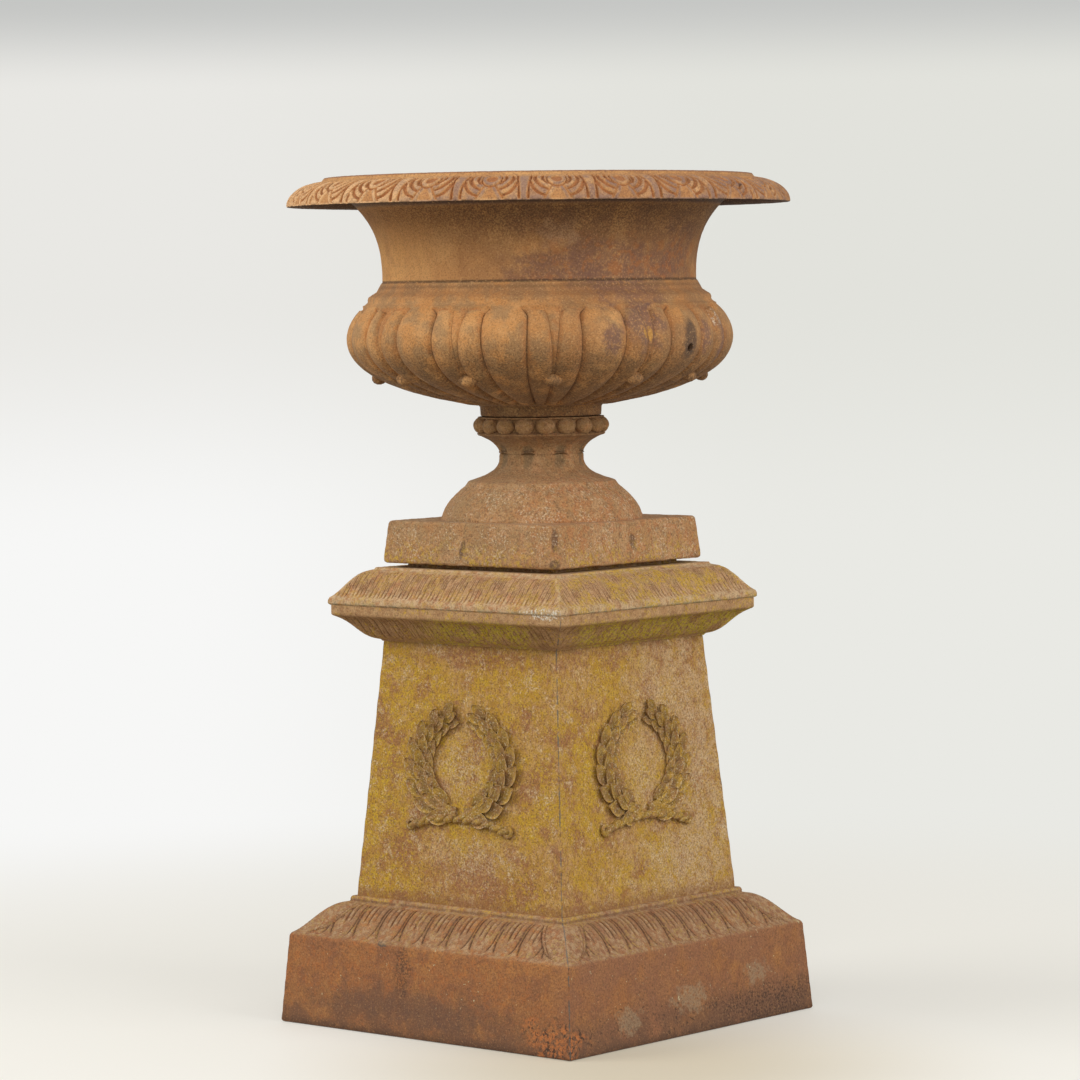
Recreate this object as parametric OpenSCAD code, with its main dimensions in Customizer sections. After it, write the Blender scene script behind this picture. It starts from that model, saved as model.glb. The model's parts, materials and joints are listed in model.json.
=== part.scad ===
// Cast-iron garden urn on a square battered pedestal.
// Each stage of the pedestal is four mitred side castings bolted together inside.
// The urn is a second stack of castings on one tie rod, and lifts off the cap.

/* [Pedestal] */
// Width of the base across its foot
base_w = 520; // [480:5:600]
// Height of the plain skirt
skirt_h = 121; // [90:1:160]
// How far each side of the skirt leans in towards its top
skirt_lean = 10; // [4:1:16]
// Height of the leaf moulding with the fillet over it
leaf_h = 50; // [40:1:64]
// Distance between the leaves of the moulding
leaf_pitch = 42; // [36:1:50]
// Depth of the grooves between the leaves
leaf_cut = 2.5; // [1:0.5:4]
// Width of the battered shaft at its foot
shaft_foot_w = 370; // [350:1:390]
// Width of the battered shaft at its head
shaft_head_w = 311; // [296:1:324]
// Height of the shaft
shaft_h = 349; // [300:1:420]
// Height of the cornice under the cap
cornice_h = 50; // [42:1:60]
// Width of the cap and the cornice at their lips
cap_w = 417; // [404:1:430]
// Width of the flat on top of the cap
cap_top_w = 324; // [316:1:334]
// Height of the cap
cap_h = 51; // [44:1:60]
// Thickness of the cast walls
wall = 9; // [7:0.5:11]
// Width of the raised seat for the urn
seat_w = 262; // [230:1:280]
// Height of the raised seat
seat_h = 5; // [3:0.5:8]
// Diameter of the drain hole in the cap
cap_drain_d = 60; // [30:1:90]

/* [Wreaths] */
// Height of the wreath's middle over the foot of the shaft
wreath_z = 182; // [150:1:210]
// Half width of the wreath, on the middle line of its branches
wreath_a = 71; // [60:1:82]
// Half height of the wreath, on the middle line of its branches
wreath_b = 66; // [58:1:76]
// Length of a laurel leaf
leaf_l = 36; // [28:1:42]
// Width of a laurel leaf
leaf_w = 15; // [11:0.5:19]
// How far the leaves stand out from the panel
leaf_t = 10; // [6:0.5:14]

/* [Urn] */
// Width of the urn's square block at its foot
block_w = 311; // [300:1:322]
// Height of the block
block_h = 59; // [50:1:70]
// Radius of the domed foot where it meets the block
dome_r = 138; // [126:1:142]
// Height from the block to the waist seam
foot_h = 88; // [80:1:100]
// Radius of the waist
waist_r = 58; // [54:1:64]
// Radius over the beads of the collar
collar_r = 94.5; // [90:0.5:104]
// Height of the collar casting
collar_h = 51; // [45:1:60]
// Number of beads round the collar
beads = 18; // [14:1:20]
// Radius of the bowl over its lobes
bowl_r = 265; // [255:1:280]
// Height of the bowl casting
bowl_h = 184; // [170:1:200]
// Number of lobes round the bowl
lobes = 12; // [10:1:14]
// Depth of the grooves beside the lobes
lobe_d = 7; // [4:0.5:9]
// Radius of the neck over the bowl
neck_r = 214; // [206:1:222]
// Radius of the rim
rim_r = 343; // [325:1:360]
// Number of leaves round the rim
rim_leaves = 24; // [20:1:28]
// Depth of the hollows between the rim's leaves
band_cut = 3; // [1:0.5:4]
// Height of the neck and rim casting
rim_h = 142; // [130:1:160]
// Thickness of the urn's walls
urn_wall = 10; // [8:0.5:11]

/* [Fixings] */
// Diameter of the bolts that hold the pedestal together
bolt_d = 10; // [8:1:12]
// Diameter of the bolts between the bowl and the neck
neck_bolt_d = 8; // [6:1:8]
// Number of bolts between the bowl and the neck
neck_bolts = 6; // [4:1:8]
// Diameter of the urn's tie rod
rod_d = 16; // [12:1:20]
// Diameter of the drain holes in the bowl's floor
drain_d = 14; // [8:1:18]
// Clearance round each bolt in its hole
bolt_gap = 0.5; // [0.3:0.1:1]

/* [Hidden] */
$fn = 96;

// Colours
rust = "#9c6b43";
rust_dark = "#80523a";
lichen = "#b0893a";
steel = "#6b5a50";

// Levels
z_shaft = skirt_h + leaf_h;
z_cornice = z_shaft + shaft_h;
z_cap = z_cornice + cornice_h;
z_top = z_cap + cap_h;
z_urn = z_top + seat_h;
z_block = z_urn + block_h;
z_waist = z_block + foot_h;
z_bowl = z_waist + collar_h;
z_neck = z_bowl + bowl_h;
z_rim = z_neck + rim_h;

// Half widths of the square stages
base_h = base_w / 2;
skirt_top = base_h - skirt_lean;
foot_h2 = shaft_foot_w / 2;
head_h2 = shaft_head_w / 2;
cap_h2 = cap_w / 2;
cap_top = cap_top_w / 2;
block_h2 = block_w / 2;
block_lean = 5.5;

// Inner flanges, through which the stages are bolted to each other
flange_w = 40;
foot_flange = foot_h2 - flange_w;
head_flange = head_h2 - flange_w;
cap_flange = cap_h2 - 54;
foot_bolt_line = foot_flange + 14;
head_bolt_line = head_flange + 14;
cap_bolt_line = cap_flange + 15;
bolt_spread = 78;

// Sizes of hexagon fixings from their thread
head_k = 0.64;
nut_k = 0.8;
flats_k = 1.6;

// Corner lugs, bolted to each other across the mitres
lug_t = wall - 1;
hex_r = bolt_d * flats_k / 2 / cos(30);
bolt_in = lug_t + bolt_d * nut_k + hex_r + 2;
lug_reach = bolt_in + hex_r + 3;
lug_tall = 40;
batter = atan((foot_h2 - head_h2) / shaft_h);
wall_flat = wall / cos(batter);
base_lug_z = skirt_h * 0.48;
base_lug_h = base_h - skirt_lean * 0.48 - wall;
shaft_lug_z = [0.22, 0.78];

// Tie rod
rod_nut_h = rod_d * nut_k;
rod_washer_r = rod_d * 1.3;
rod_washer_t = 4;

// Bowl
belly_drop = 77;
cavetto_h = 32;
hub_h = 16;
hub_r = 82.5;
hub_bore = 68;
floor_t = 10;
belly_foot_r = 99;
neck_flange_w = 26;
neck_flange_t = 10;
neck_bolt_r = neck_r - urn_wall - 13;
drain_ring = 46;
drains = 4;
knob_r = 8.5;
belly_hole_d = 11;
belly_hole_z = 91;
rim_hole_d = 9;
rim_hole_a = 4;

// A point on a cubic curve, and the points along it
function on_curve(p, t) = pow(1 - t, 3) * p[0] + 3 * t * pow(1 - t, 2) * p[1]
    + 3 * t * t * (1 - t) * p[2] + pow(t, 3) * p[3];
function curve(p, n) = [for (i = [0 : n]) on_curve(p, i / n)];

// An ogee from point a to point b: it leaves a nearly flat and arrives at b nearly flat
function ogee(a, b, n = 7) = let (d = b - a) curve(
    [a, a + [d[0] * 0.28, d[1] * 0.17], b - [d[0] * 0.42, d[1] * 0.07], b], n);
// The same with its steep stretch further out, as under the cap
function ogee_over(a, b, n = 7) = let (d = b - a) curve(
    [a, a + [d[0] * 0.46, d[1] * 0.1], b - [d[0] * 0.49, d[1] * 0.29], b], n);

// Solid with a square plan whose half width at each height follows the outline
module square_stack(outline) {
    both = concat(outline, [for (i = [len(outline) - 1 : -1 : 0]) [-outline[i][0], outline[i][1]]]);
    reach = 2 * max([for (p = outline) p[0]]) + 2;
    intersection() {
        rotate([90, 0, 0]) linear_extrude(reach, center = true) polygon(both);
        rotate([90, 0, 90]) linear_extrude(reach, center = true) polygon(both);
    }
}

// The quarter of the plan that belongs to the front side
module front_quarter() {
    r = base_w;
    translate([0, 0, -1]) linear_extrude(z_rim) polygon([[0, 0], [r, -r], [-r, -r]]);
}

// Hexagon bolt along +Z: its head's bearing face at z = 0, its shank up to z = l
module bolt(d, l) {
    translate([0, 0, -d * head_k]) cylinder(d = d * flats_k / cos(30), h = d * head_k, $fn = 6);
    cylinder(d = d, h = l);
}

// Hexagon nut from z = 0 up, on a bolt of diameter d
module nut(d) {
    difference() {
        cylinder(d = d * flats_k / cos(30), h = d * nut_k, $fn = 6);
        translate([0, 0, -1]) cylinder(d = d + 0.2, h = d * nut_k + 2);
    }
}

// Places its children at the four corners, x along the corner's diagonal
module at_corners() {
    for (k = [0 : 3]) rotate([0, 0, 90 * k - 45]) children();
}

// Places its children at the flange bolts of side k, on a line h out from the middle
module at_flange(k, h) {
    for (s = [-1, 1]) rotate([0, 0, 90 * k]) translate([s * bolt_spread, -h, 0]) children();
}

// The two lugs at the ends of one side, where the inner wall stands h out
module lug_pair(h, z) {
    x = h * sqrt(2) - lug_reach;
    for (s = [0, 1]) rotate([0, 0, s == 0 ? -45 : -135])
        translate([x, s == 0 ? -lug_t : 0, z - lug_tall / 2])
            cube([lug_reach + wall / 4, lug_t, lug_tall]);
}

// Bolt holes through both lugs
module lug_holes(h, z) {
    for (a = [-45, -135]) rotate([0, 0, a])
        translate([h * sqrt(2) - bolt_in, 0, z]) rotate([90, 0, 0])
            cylinder(d = bolt_d + 2 * bolt_gap, h = 4 * lug_t, center = true);
}

// Inner half width of the shaft at a share of its height
function shaft_inner(t) = foot_h2 + (head_h2 - foot_h2) * t - wall_flat;

// Base: skirt, leaf moulding and the fillet at the foot of the shaft
fillet_h = foot_h2 + 6.5;
base_outer = concat(
    [[base_h - 3, 0], [base_h - 0.9, 0.9], [base_h, 3], [skirt_top + 1, skirt_h - 3],
     [skirt_top, skirt_h]],
    ogee([skirt_top - 2, skirt_h + 2], [fillet_h + 5, z_shaft - 8]),
    [[fillet_h, z_shaft - 7], [fillet_h, z_shaft - 2], [fillet_h - 2, z_shaft]]);
base_inner = [
    [base_h - wall, -1], [skirt_top - wall, skirt_h - wall * 0.7],
    [fillet_h - 2, z_shaft - wall * 1.9], [fillet_h - 4, z_shaft - wall]];

// Grooves across the leaf moulding of the front side: a pair between each two leaves, and one
// along each mitre round the corner's own leaf
leaf_line = ogee([skirt_top - 2, skirt_h + 2], [fillet_h + 5, z_shaft - 8]);
// Direction straight out of the moulding, seen from its end
leaf_out = [0.61, 0.79];
corner_leaf = 35;
groove_w = 3.2;
leaf_gap = 9.6;
module leaf_grooves() {
    cut = leaf_out * leaf_cut;
    both = concat([for (p = leaf_line) p - cut],
        [for (i = [len(leaf_line) - 1 : -1 : 0]) leaf_line[i] + 2 * cut]);
    for (x = [leaf_pitch / 2 : leaf_pitch : fillet_h - corner_leaf], s = [-1, 1], t = [-1, 1])
        translate([s * x + t * leaf_gap / 2 - groove_w / 2, 0, 0])
            rotate([90, 0, 90]) mirror([1, 0]) linear_extrude(groove_w) polygon(both);
    intersection() {
        translate([-base_w / 2, 0, 0]) rotate([90, 0, 90]) mirror([1, 0])
            linear_extrude(base_w) polygon(both);
        linear_extrude(z_shaft) for (s = [-1, 1]) polygon([
            [-s * corner_leaf, 0], [s * (base_h - corner_leaf), -base_h],
            [s * (base_h - corner_leaf - groove_w), -base_h], [-s * (corner_leaf + groove_w), 0]]);
    }
}

module base_side(k) {
    color(rust_dark) rotate([0, 0, 90 * k]) difference() {
        union() {
            intersection() {
                difference() {
                    square_stack(base_outer);
                    square_stack(base_inner);
                    square_stack([[foot_flange, z_shaft - 2 * wall], [foot_flange, z_shaft + 1]]);
                }
                front_quarter();
            }
            lug_pair(base_lug_h, base_lug_z);
        }
        leaf_grooves();
        lug_holes(base_lug_h, base_lug_z);
        at_flange(0, foot_bolt_line) translate([0, 0, z_shaft - 2 * wall])
            cylinder(d = bolt_d + 2 * bolt_gap, h = 3 * wall);
    }
}

// Shaft: plain battered panels with a flange at the foot and at the head
module panel(k) {
    color(lichen) rotate([0, 0, 90 * k]) difference() {
        union() {
            intersection() {
                difference() {
                    square_stack([[foot_h2, z_shaft], [head_h2, z_cornice]]);
                    square_stack([
                        [shaft_inner(wall / shaft_h), z_shaft + wall],
                        [shaft_inner(1 - wall / shaft_h), z_cornice - wall]]);
                    square_stack([[foot_flange, z_shaft - 1], [foot_flange, z_shaft + wall + 1]]);
                    square_stack([[head_flange, z_cornice - wall - 1], [head_flange, z_cornice + 1]]);
                }
                front_quarter();
            }
            for (t = shaft_lug_z) lug_pair(shaft_inner(t), z_shaft + t * shaft_h);
        }
        for (t = shaft_lug_z) lug_holes(shaft_inner(t), z_shaft + t * shaft_h);
        at_flange(0, foot_bolt_line) translate([0, 0, z_shaft - 1])
            cylinder(d = bolt_d + 2 * bolt_gap, h = wall + 2);
        at_flange(0, head_bolt_line) translate([0, 0, z_cornice - wall - 1])
            cylinder(d = bolt_d + 2 * bolt_gap, h = wall + 2);
        for (s = [-1, 1]) on_panel(0) translate([s * wreath_a, 0, -2 * wall])
            cylinder(d = screw_d + 2 * bolt_gap, h = 3 * wall);
    }
}

// Cornice: a cyma that steps out from the head of the shaft to the lip under the cap
lip_h = 12;
module cornice(k) {
    lip = cap_h2 - 2.5;
    outer = concat([[head_h2 + 1.5, z_cornice], [head_h2 + 2.5, z_cornice + 2]],
        ogee_over([head_h2 + 3.5, z_cornice + 2.5], [lip - 1.5, z_cap - lip_h - 2]),
        [[lip, z_cap - lip_h], [lip, z_cap]]);
    inner = [[head_h2 - wall + 6, z_cornice + wall], [head_h2 + 11, z_cornice + wall + 6],
        [head_h2 + 18, z_cap - wall * 2.3], [lip - wall * 1.6, z_cap - wall]];
    color(rust) rotate([0, 0, 90 * k]) difference() {
        intersection() {
            difference() {
                square_stack(outer);
                square_stack(inner);
                square_stack([[head_flange, z_cornice - 1], [head_flange, z_cornice + wall + 1]]);
                square_stack([[cap_flange, z_cap - wall - 1], [cap_flange, z_cap + 1]]);
            }
            front_quarter();
        }
        at_flange(0, head_bolt_line) translate([0, 0, z_cornice - 1])
            cylinder(d = bolt_d + 2 * bolt_gap, h = wall + 2);
        at_flange(0, cap_bolt_line) translate([0, 0, z_cap - wall - 1])
            cylinder(d = bolt_d + 2 * bolt_gap, h = wall + 2);
    }
}

// Cap: one casting with the cyma round it, the urn's seat on top and bosses underneath
boss_r = bolt_d * 1.1;
boss_h = cap_h * 0.66;
thread_h = bolt_d * 2.2;
module cap_plate() {
    outer = concat([[cap_h2 - 2.5, z_cap], [cap_h2, z_cap + 2], [cap_h2, z_cap + 7]],
        ogee([cap_h2 - 1.5, z_cap + 11], [cap_top + 6, z_top - 4]),
        [[cap_top + 1, z_top - 2.5], [cap_top, z_top]]);
    inner = [[cap_h2 - 2.5 - wall, z_cap - 1], [cap_h2 - 2.5 - wall, z_cap + 3],
        [cap_h2 - 31, z_cap + 23], [cap_top + 6 - wall, z_top - 4 - wall * 0.8],
        [cap_top - wall, z_top - wall]];
    color(rust) difference() {
        union() {
            difference() {
                square_stack(outer);
                square_stack(inner);
            }
            for (k = [0 : 3]) at_flange(k, cap_bolt_line) translate([0, 0, z_cap])
                cylinder(r = boss_r, h = boss_h);
            translate([-seat_w / 2, -seat_w / 2, z_top - 1]) cube([seat_w, seat_w, seat_h + 1]);
        }
        translate([0, 0, z_top - 2 * wall]) cylinder(d = cap_drain_d, h = 2 * wall + seat_h + 1);
        for (k = [0 : 3]) at_flange(k, cap_bolt_line) translate([0, 0, z_cap - 1])
            cylinder(d = bolt_d + 2 * bolt_gap, h = thread_h + 4);
    }
}

module corner_bolts() {
    color(steel) place_corner_bolts() translate([0, 0, -lug_t])
        bolt(bolt_d, 2 * lug_t + bolt_d * 1.1);
}

module corner_nuts() {
    color(steel) place_corner_bolts() translate([0, 0, lug_t]) nut(bolt_d);
}

// Corner bolts run square to the mitres, one through the base and two through the shaft
module place_corner_bolts() {
    at_corners() {
        translate([base_lug_h * sqrt(2) - bolt_in, 0, base_lug_z])
            rotate([-90, 0, 0]) children();
        for (t = shaft_lug_z)
            translate([shaft_inner(t) * sqrt(2) - bolt_in, 0, z_shaft + t * shaft_h])
                rotate([-90, 0, 0]) children();
    }
}

module flange_bolts() {
    l = 2 * wall + bolt_d * 1.1;
    color(steel) for (k = [0 : 3]) {
        at_flange(k, foot_bolt_line) translate([0, 0, z_shaft + wall]) mirror([0, 0, 1])
            bolt(bolt_d, l);
        at_flange(k, head_bolt_line) translate([0, 0, z_cornice - wall]) bolt(bolt_d, l);
    }
}

module flange_nuts() {
    color(steel) for (k = [0 : 3]) {
        at_flange(k, foot_bolt_line) translate([0, 0, z_shaft - wall]) mirror([0, 0, 1]) nut(bolt_d);
        at_flange(k, head_bolt_line) translate([0, 0, z_cornice + wall]) nut(bolt_d);
    }
}

module cap_bolts() {
    color(steel) for (k = [0 : 3]) at_flange(k, cap_bolt_line)
        translate([0, 0, z_cap - wall]) bolt(bolt_d, wall + thread_h);
}

// Wreaths, in the panel's own plane: x along the panel, y up it, z out of it
screw_d = 6;
back_t = 3;
stations = 7;
first_a = -66;
last_a = 64;

module on_panel(k) {
    rotate([0, 0, 90 * k])
        translate([0, -(foot_h2 - wreath_z * tan(batter)), z_shaft + wreath_z])
            rotate([90 - batter, 0, 0]) children();
}

function wreath_point(a, k = 1) = [wreath_a * k * cos(a), wreath_b * k * sin(a)];

// Pointed leaf with a raised midrib, lying along +X
module leaf(l, w, t) {
    hull() polyhedron(
        [[0, 0, 0], [l * 0.42, w / 2, 0], [l * 0.42, -w / 2, 0], [l, 0, t * 0.6],
         [l * 0.42, 0, t], [l * 0.9, 0, 0]],
        [[0, 1, 3, 2], [4, 1, 5]]);
}

// One branch of laurel, with leaves in three ranks that point up the branch
module branch() {
    for (i = [0 : stations - 1], rank = [-1 : 1]) {
        a = first_a + (last_a - first_a) * (i + (rank == 0 ? 0.5 : 0)) / (stations - 0.5);
        lean = atan2(wreath_b * cos(a), -wreath_a * sin(a)) - rank * 15;
        translate(concat(wreath_point(a, 1 + rank * 0.15), [0]))
            rotate([0, 0, lean]) leaf(leaf_l, leaf_w, leaf_t - (rank == 0 ? 0 : 2));
    }
}

// Thin backing that carries the leaves
module branch_back() {
    inner = [for (i = [0 : 8]) wreath_point(first_a - 6 + (last_a + 14 - first_a) * i / 8, 0.85)];
    outer = [for (i = [8 : -1 : 0]) wreath_point(first_a - 6 + (last_a + 14 - first_a) * i / 8, 1.16)];
    linear_extrude(back_t) polygon(concat(inner, outer));
}

// One turn of the ribbon that ties the branches: a slanted lozenge
module twist(x, y, l, w, turn) {
    translate([x, y, 0]) rotate([0, 0, turn]) hull() polyhedron(
        [[-l / 2, 0, 0], [l / 2, 0, 0], [0, w / 2, 0], [0, -w / 2, 0],
         [-l / 4, 0, leaf_t * 0.8], [l / 4, 0, leaf_t * 0.8]],
        [[0, 1, 2], [3, 4, 5]]);
}

module ribbon() {
    y = -wreath_b - 16;
    for (i = [-2 : 2]) twist(i * 17, y + abs(i) * 1.5, 28, 13, i % 2 == 0 ? -14 : 12);
    for (s = [-1, 1]) {
        twist(s * 52, y - 3, 26, 12, s * -24);
        twist(s * 71, y - 9, 30, 15, s * 14);
        twist(s * 84, y - 3, 14, 11, s * 52);
    }
}

module wreath(k) {
    color(lichen) on_panel(k) difference() {
        union() {
            for (s = [0, 1]) mirror([s, 0, 0]) {
                branch_back();
                branch();
            }
            ribbon();
            translate([-84, -wreath_b - 20, 0]) cube([168, 9, back_t]);
            for (s = [-1, 1]) translate([s * 30, -wreath_b - 14, 0]) rotate([0, 0, s * 25])
                translate([-13, -5, 0]) cube([26, 14, back_t]);
        }
        for (s = [-1, 1]) translate([s * wreath_a, 0, -1])
            cylinder(d = screw_d + 0.4, h = 1 + back_t * 0.8, $fn = 16);
    }
}

// Round-headed screws from inside each panel into the back of its wreath
module wreath_screws() {
    color(steel) for (k = [0 : 3], s = [-1, 1]) on_panel(k) translate([s * wreath_a, 0, -wall]) {
        cylinder(d = screw_d, h = wall + back_t * 0.7);
        translate([0, 0, -4]) cylinder(d = screw_d * 2, h = 4);
    }
}

// Urn foot: square block, domed foot and lower half of the waist, in one casting
module urn_foot() {
    web_z = z_block + 42;
    block_top = block_h2 - block_lean;
    dome = concat([[dome_r, z_block - 1], [dome_r, z_block + 3]],
        curve([[dome_r - 1.5, z_block + 6], [dome_r - 5, z_block + 20],
            [dome_r - 18, z_block + 33], [dome_r - 33, z_block + 45]], 6),
        [[dome_r - 37, z_block + 51], [dome_r - 40, z_block + 52]],
        curve([[dome_r - 46, z_block + 54], [waist_r + 12, z_block + 61],
            [waist_r + 1, z_block + 68], [waist_r, z_waist - 6]], 6),
        [[waist_r, z_waist], [0, z_waist], [0, z_block - 1]]);
    hollow = concat([[0, z_urn + wall], [dome_r - wall - 4, z_urn + wall],
            [dome_r - wall - 4, z_block + 4]],
        curve([[dome_r - wall - 5, z_block + 9], [dome_r - wall - 9, z_block + 20],
            [dome_r - wall - 16, z_block + 29], [dome_r - wall - 28, z_block + 36]], 4),
        [[dome_r - wall - 40, web_z], [0, web_z]]);
    color(rust) difference() {
        union() {
            square_stack([[block_h2 - 3, z_urn], [block_h2, z_urn + 5],
                [block_top, z_block - 4], [block_top - 3, z_block]]);
            rotate_extrude() polygon(dome);
        }
        rotate_extrude() polygon(hollow);
        square_stack([[block_h2 - urn_wall - 3, z_urn + wall],
            [block_top - urn_wall - 2, z_block - urn_wall]]);
        translate([0, 0, z_urn - 1]) cylinder(r = seat_w / 2 - 26, h = wall + 2);
        translate([0, 0, web_z - 1]) cylinder(d = rod_d + 2 * bolt_gap, h = foot_h);
        translate([0, 0, web_z + wall]) cylinder(r = waist_r - urn_wall - 3, h = foot_h);
    }
}

// Collar: upper half of the waist under a ring of beads
module urn_collar() {
    bead_r = 12.5;
    bead_z = z_bowl - 12.5;
    side = concat([[waist_r, z_waist], [waist_r, z_waist + 2]],
        curve([[waist_r, z_waist + 4], [waist_r + 5, z_waist + 14],
            [waist_r + 12, z_waist + 18], [collar_r - 12, z_waist + 24]], 6),
        [[collar_r - 8, z_waist + 25], [collar_r - 6, z_waist + 28], [collar_r - 9, z_waist + 29],
         [collar_r - 9, z_bowl - 3], [collar_r - 7, z_bowl - 2], [collar_r - 9, z_bowl]]);
    color(rust) difference() {
        union() {
            rotate_extrude() polygon(concat(side, [[0, z_bowl], [0, z_waist]]));
            for (i = [0 : beads - 1]) rotate([0, 0, -45 + 360 / beads * i])
                translate([collar_r - bead_r, 0, bead_z]) sphere(r = bead_r);
        }
        translate([0, 0, z_waist - 1]) cylinder(r = waist_r - urn_wall - 3, h = collar_h + 2);
        translate([0, 0, z_bowl - 8]) cylinder(r = hub_bore - 4, h = 9);
    }
}

// Gadrooned bowl: rings of points round the axis, joined into one closed skin
z_equator = z_neck - belly_drop;
z_belly = z_neck - cavetto_h;
z_floor = z_bowl + hub_h;
belly_top = bowl_r - 24;
belly_knee = [bowl_r - 115, z_floor + 10];
upper_belly = [[belly_top, z_belly], [belly_top + 11, z_belly - 8], [bowl_r, z_equator + 19],
    [bowl_r, z_equator]];
lower_belly = [[bowl_r, z_equator], [bowl_r, z_equator - 38], [bowl_r - 43, z_floor + 28],
    belly_knee];
knob_at = on_curve(lower_belly, 0.6) + [-2, 2.5];
relief_rows = concat(
    [for (t = [0, 0.12, 0.3, 0.6]) on_curve(upper_belly, t)],
    [for (t = [0, 0.22, 0.45, 0.7, 1]) on_curve(lower_belly, t)],
    [[belly_foot_r + 6, z_floor + 1]]);
plain_top = [[neck_r, z_neck], [neck_r + 2, z_neck - 3], [neck_r + 8, z_neck - 13],
    [neck_r + 19, z_neck - 20], [neck_r + 20, z_neck - 27]];
hub = [[belly_foot_r, z_floor], [hub_r + 1, z_floor - 1], [hub_r, z_bowl], [hub_bore, z_bowl],
    [hub_bore, z_floor + 2]];
cavity = [[belly_foot_r, z_floor + 2 + floor_t], [belly_knee[0] + 5, z_floor + 14 + urn_wall],
    [bowl_r - 46, z_equator - 42], [bowl_r - lobe_d - urn_wall, z_equator],
    [neck_r - urn_wall, z_neck - neck_flange_t],
    [neck_r - urn_wall - neck_flange_w, z_neck - neck_flange_t],
    [neck_r - urn_wall - neck_flange_w, z_neck]];
skin = concat(plain_top, relief_rows, hub, cavity);
relief_first = len(plain_top);
relief_last = relief_first + len(relief_rows) - 1;

// How far down the belly a row lies: 0 at its top, 1 at its foot
function down(i) = (i - relief_first) / (relief_last - relief_first);
// Half angle of a lobe: it opens from a round top and draws in towards the foot
function lobe_angle(q) = 90 / lobes * (0.3 + 0.7 * sqrt(1 - pow(1 - min(1, q / 0.3), 2)))
    * (1 - 0.25 * max(0, q - 0.4));
strip_angle = 18 / lobes;
// Angles of the twelve points over one lobe and the pair of tongues beside it
function unit_angles(q) = let (u = 180 / lobes, a = lobe_angle(q), b = u - strip_angle - a,
    half = [0, a * 0.62, a, a + b * 0.28, a + b * 0.75, u - strip_angle, u])
    concat(half, [for (j = [5 : -1 : 1]) 2 * u - half[j]]);
// Depth below the crest at those points
function unit_depths(q) = let (d = lobe_d * min(1, 0.15 + q * 7) * (1 - 0.5 * q),
    top = q == 0 ? 1 : 0, half = [top, 0.22 + 0.78 * top, 1, 0.35 + 0.65 * top, 0.1 + 0.9 * top, 0.75, 0.8])
    [for (v = concat(half, [for (j = [5 : -1 : 1]) half[j]])) v * d];
// Outward direction of the skin at row i
function outward(i) = let (t = skin[i + 1] - skin[i - 1]) [-t[1], t[0]] / norm(t);
function ring(i) = let (
    cut = i >= relief_first && i <= relief_last,
    q = cut ? down(i) : 1 / 2,
    angles = unit_angles(q),
    depths = cut ? unit_depths(q) : [for (j = [0 : 11]) 0],
    n = cut ? outward(i) : [0, 0])
    [for (k = [0 : lobes - 1], j = [0 : 11]) let (
        a = k * 360 / lobes + angles[j],
        p = skin[i] - n * depths[j]) [p[0] * cos(a), p[0] * sin(a), p[1]]];

module bowl_skin() {
    m = 12 * lobes;
    rows = len(skin);
    points = [for (i = [0 : rows - 1]) each ring(i)];
    // The hub and the cavity each end in a flat cap across the axis
    hub_end = relief_last + len(hub);
    sides = [for (i = [0 : rows - 1], j = [0 : m - 1]) let (
            next = (i + 1) % rows, k = (j + 1) % m)
        if (i != hub_end) each [
            [i * m + j, i * m + k, next * m + k], [i * m + j, next * m + k, next * m + j]]];
    caps = [[for (j = [0 : m - 1]) hub_end * m + j],
        [for (j = [m - 1 : -1 : 0]) (hub_end + 1) * m + j]];
    polyhedron(points, concat(sides, caps), convexity = 8);
}

module urn_bowl() {
    color(rust) difference() {
        union() {
            bowl_skin();
            for (k = [0 : lobes - 1]) rotate([0, 0, (k + 0.5) * 360 / lobes])
                translate([knob_at[0], 0, knob_at[1]]) sphere(r = knob_r);
        }
        translate([0, 0, z_floor]) cylinder(d = rod_d + 2 * bolt_gap, h = 3 * floor_t);
        for (i = [0 : drains - 1]) rotate([0, 0, 45 + 360 / drains * i])
            translate([drain_ring, 0, z_floor]) cylinder(d = drain_d, h = 3 * floor_t);
        place_neck_bolts() translate([0, 0, -neck_flange_t - 2])
            cylinder(d = neck_bolt_d + 2 * bolt_gap, h = neck_flange_t + 4);
        translate([bowl_r - 45, 0, z_neck - belly_hole_z]) rotate([0, 90, 0])
            cylinder(d = belly_hole_d, h = 60);
    }
}

// Neck and rim: a trumpet that turns down at its lip, with a raised ring round the mouth
ring_r = rim_r - 52;
rim_band = [[rim_r, z_rim - 37], [rim_r - 1, z_rim - 24], [rim_r - 15, z_rim - 8],
    [ring_r + 4, z_rim - 5]];

// Places its children on the rim's band, turned by a and a share t of the way up it: their x
// runs up the band and their z points away from it
module on_band(a, t) {
    p = on_curve(rim_band, t);
    way = on_curve(rim_band, t + 0.01) - on_curve(rim_band, t - 0.01);
    rotate([0, 0, a]) translate([p[0], 0, p[1]]) rotate([0, -atan2(way[1], way[0]), 0])
        mirror([0, 0, 1]) children();
}

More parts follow.
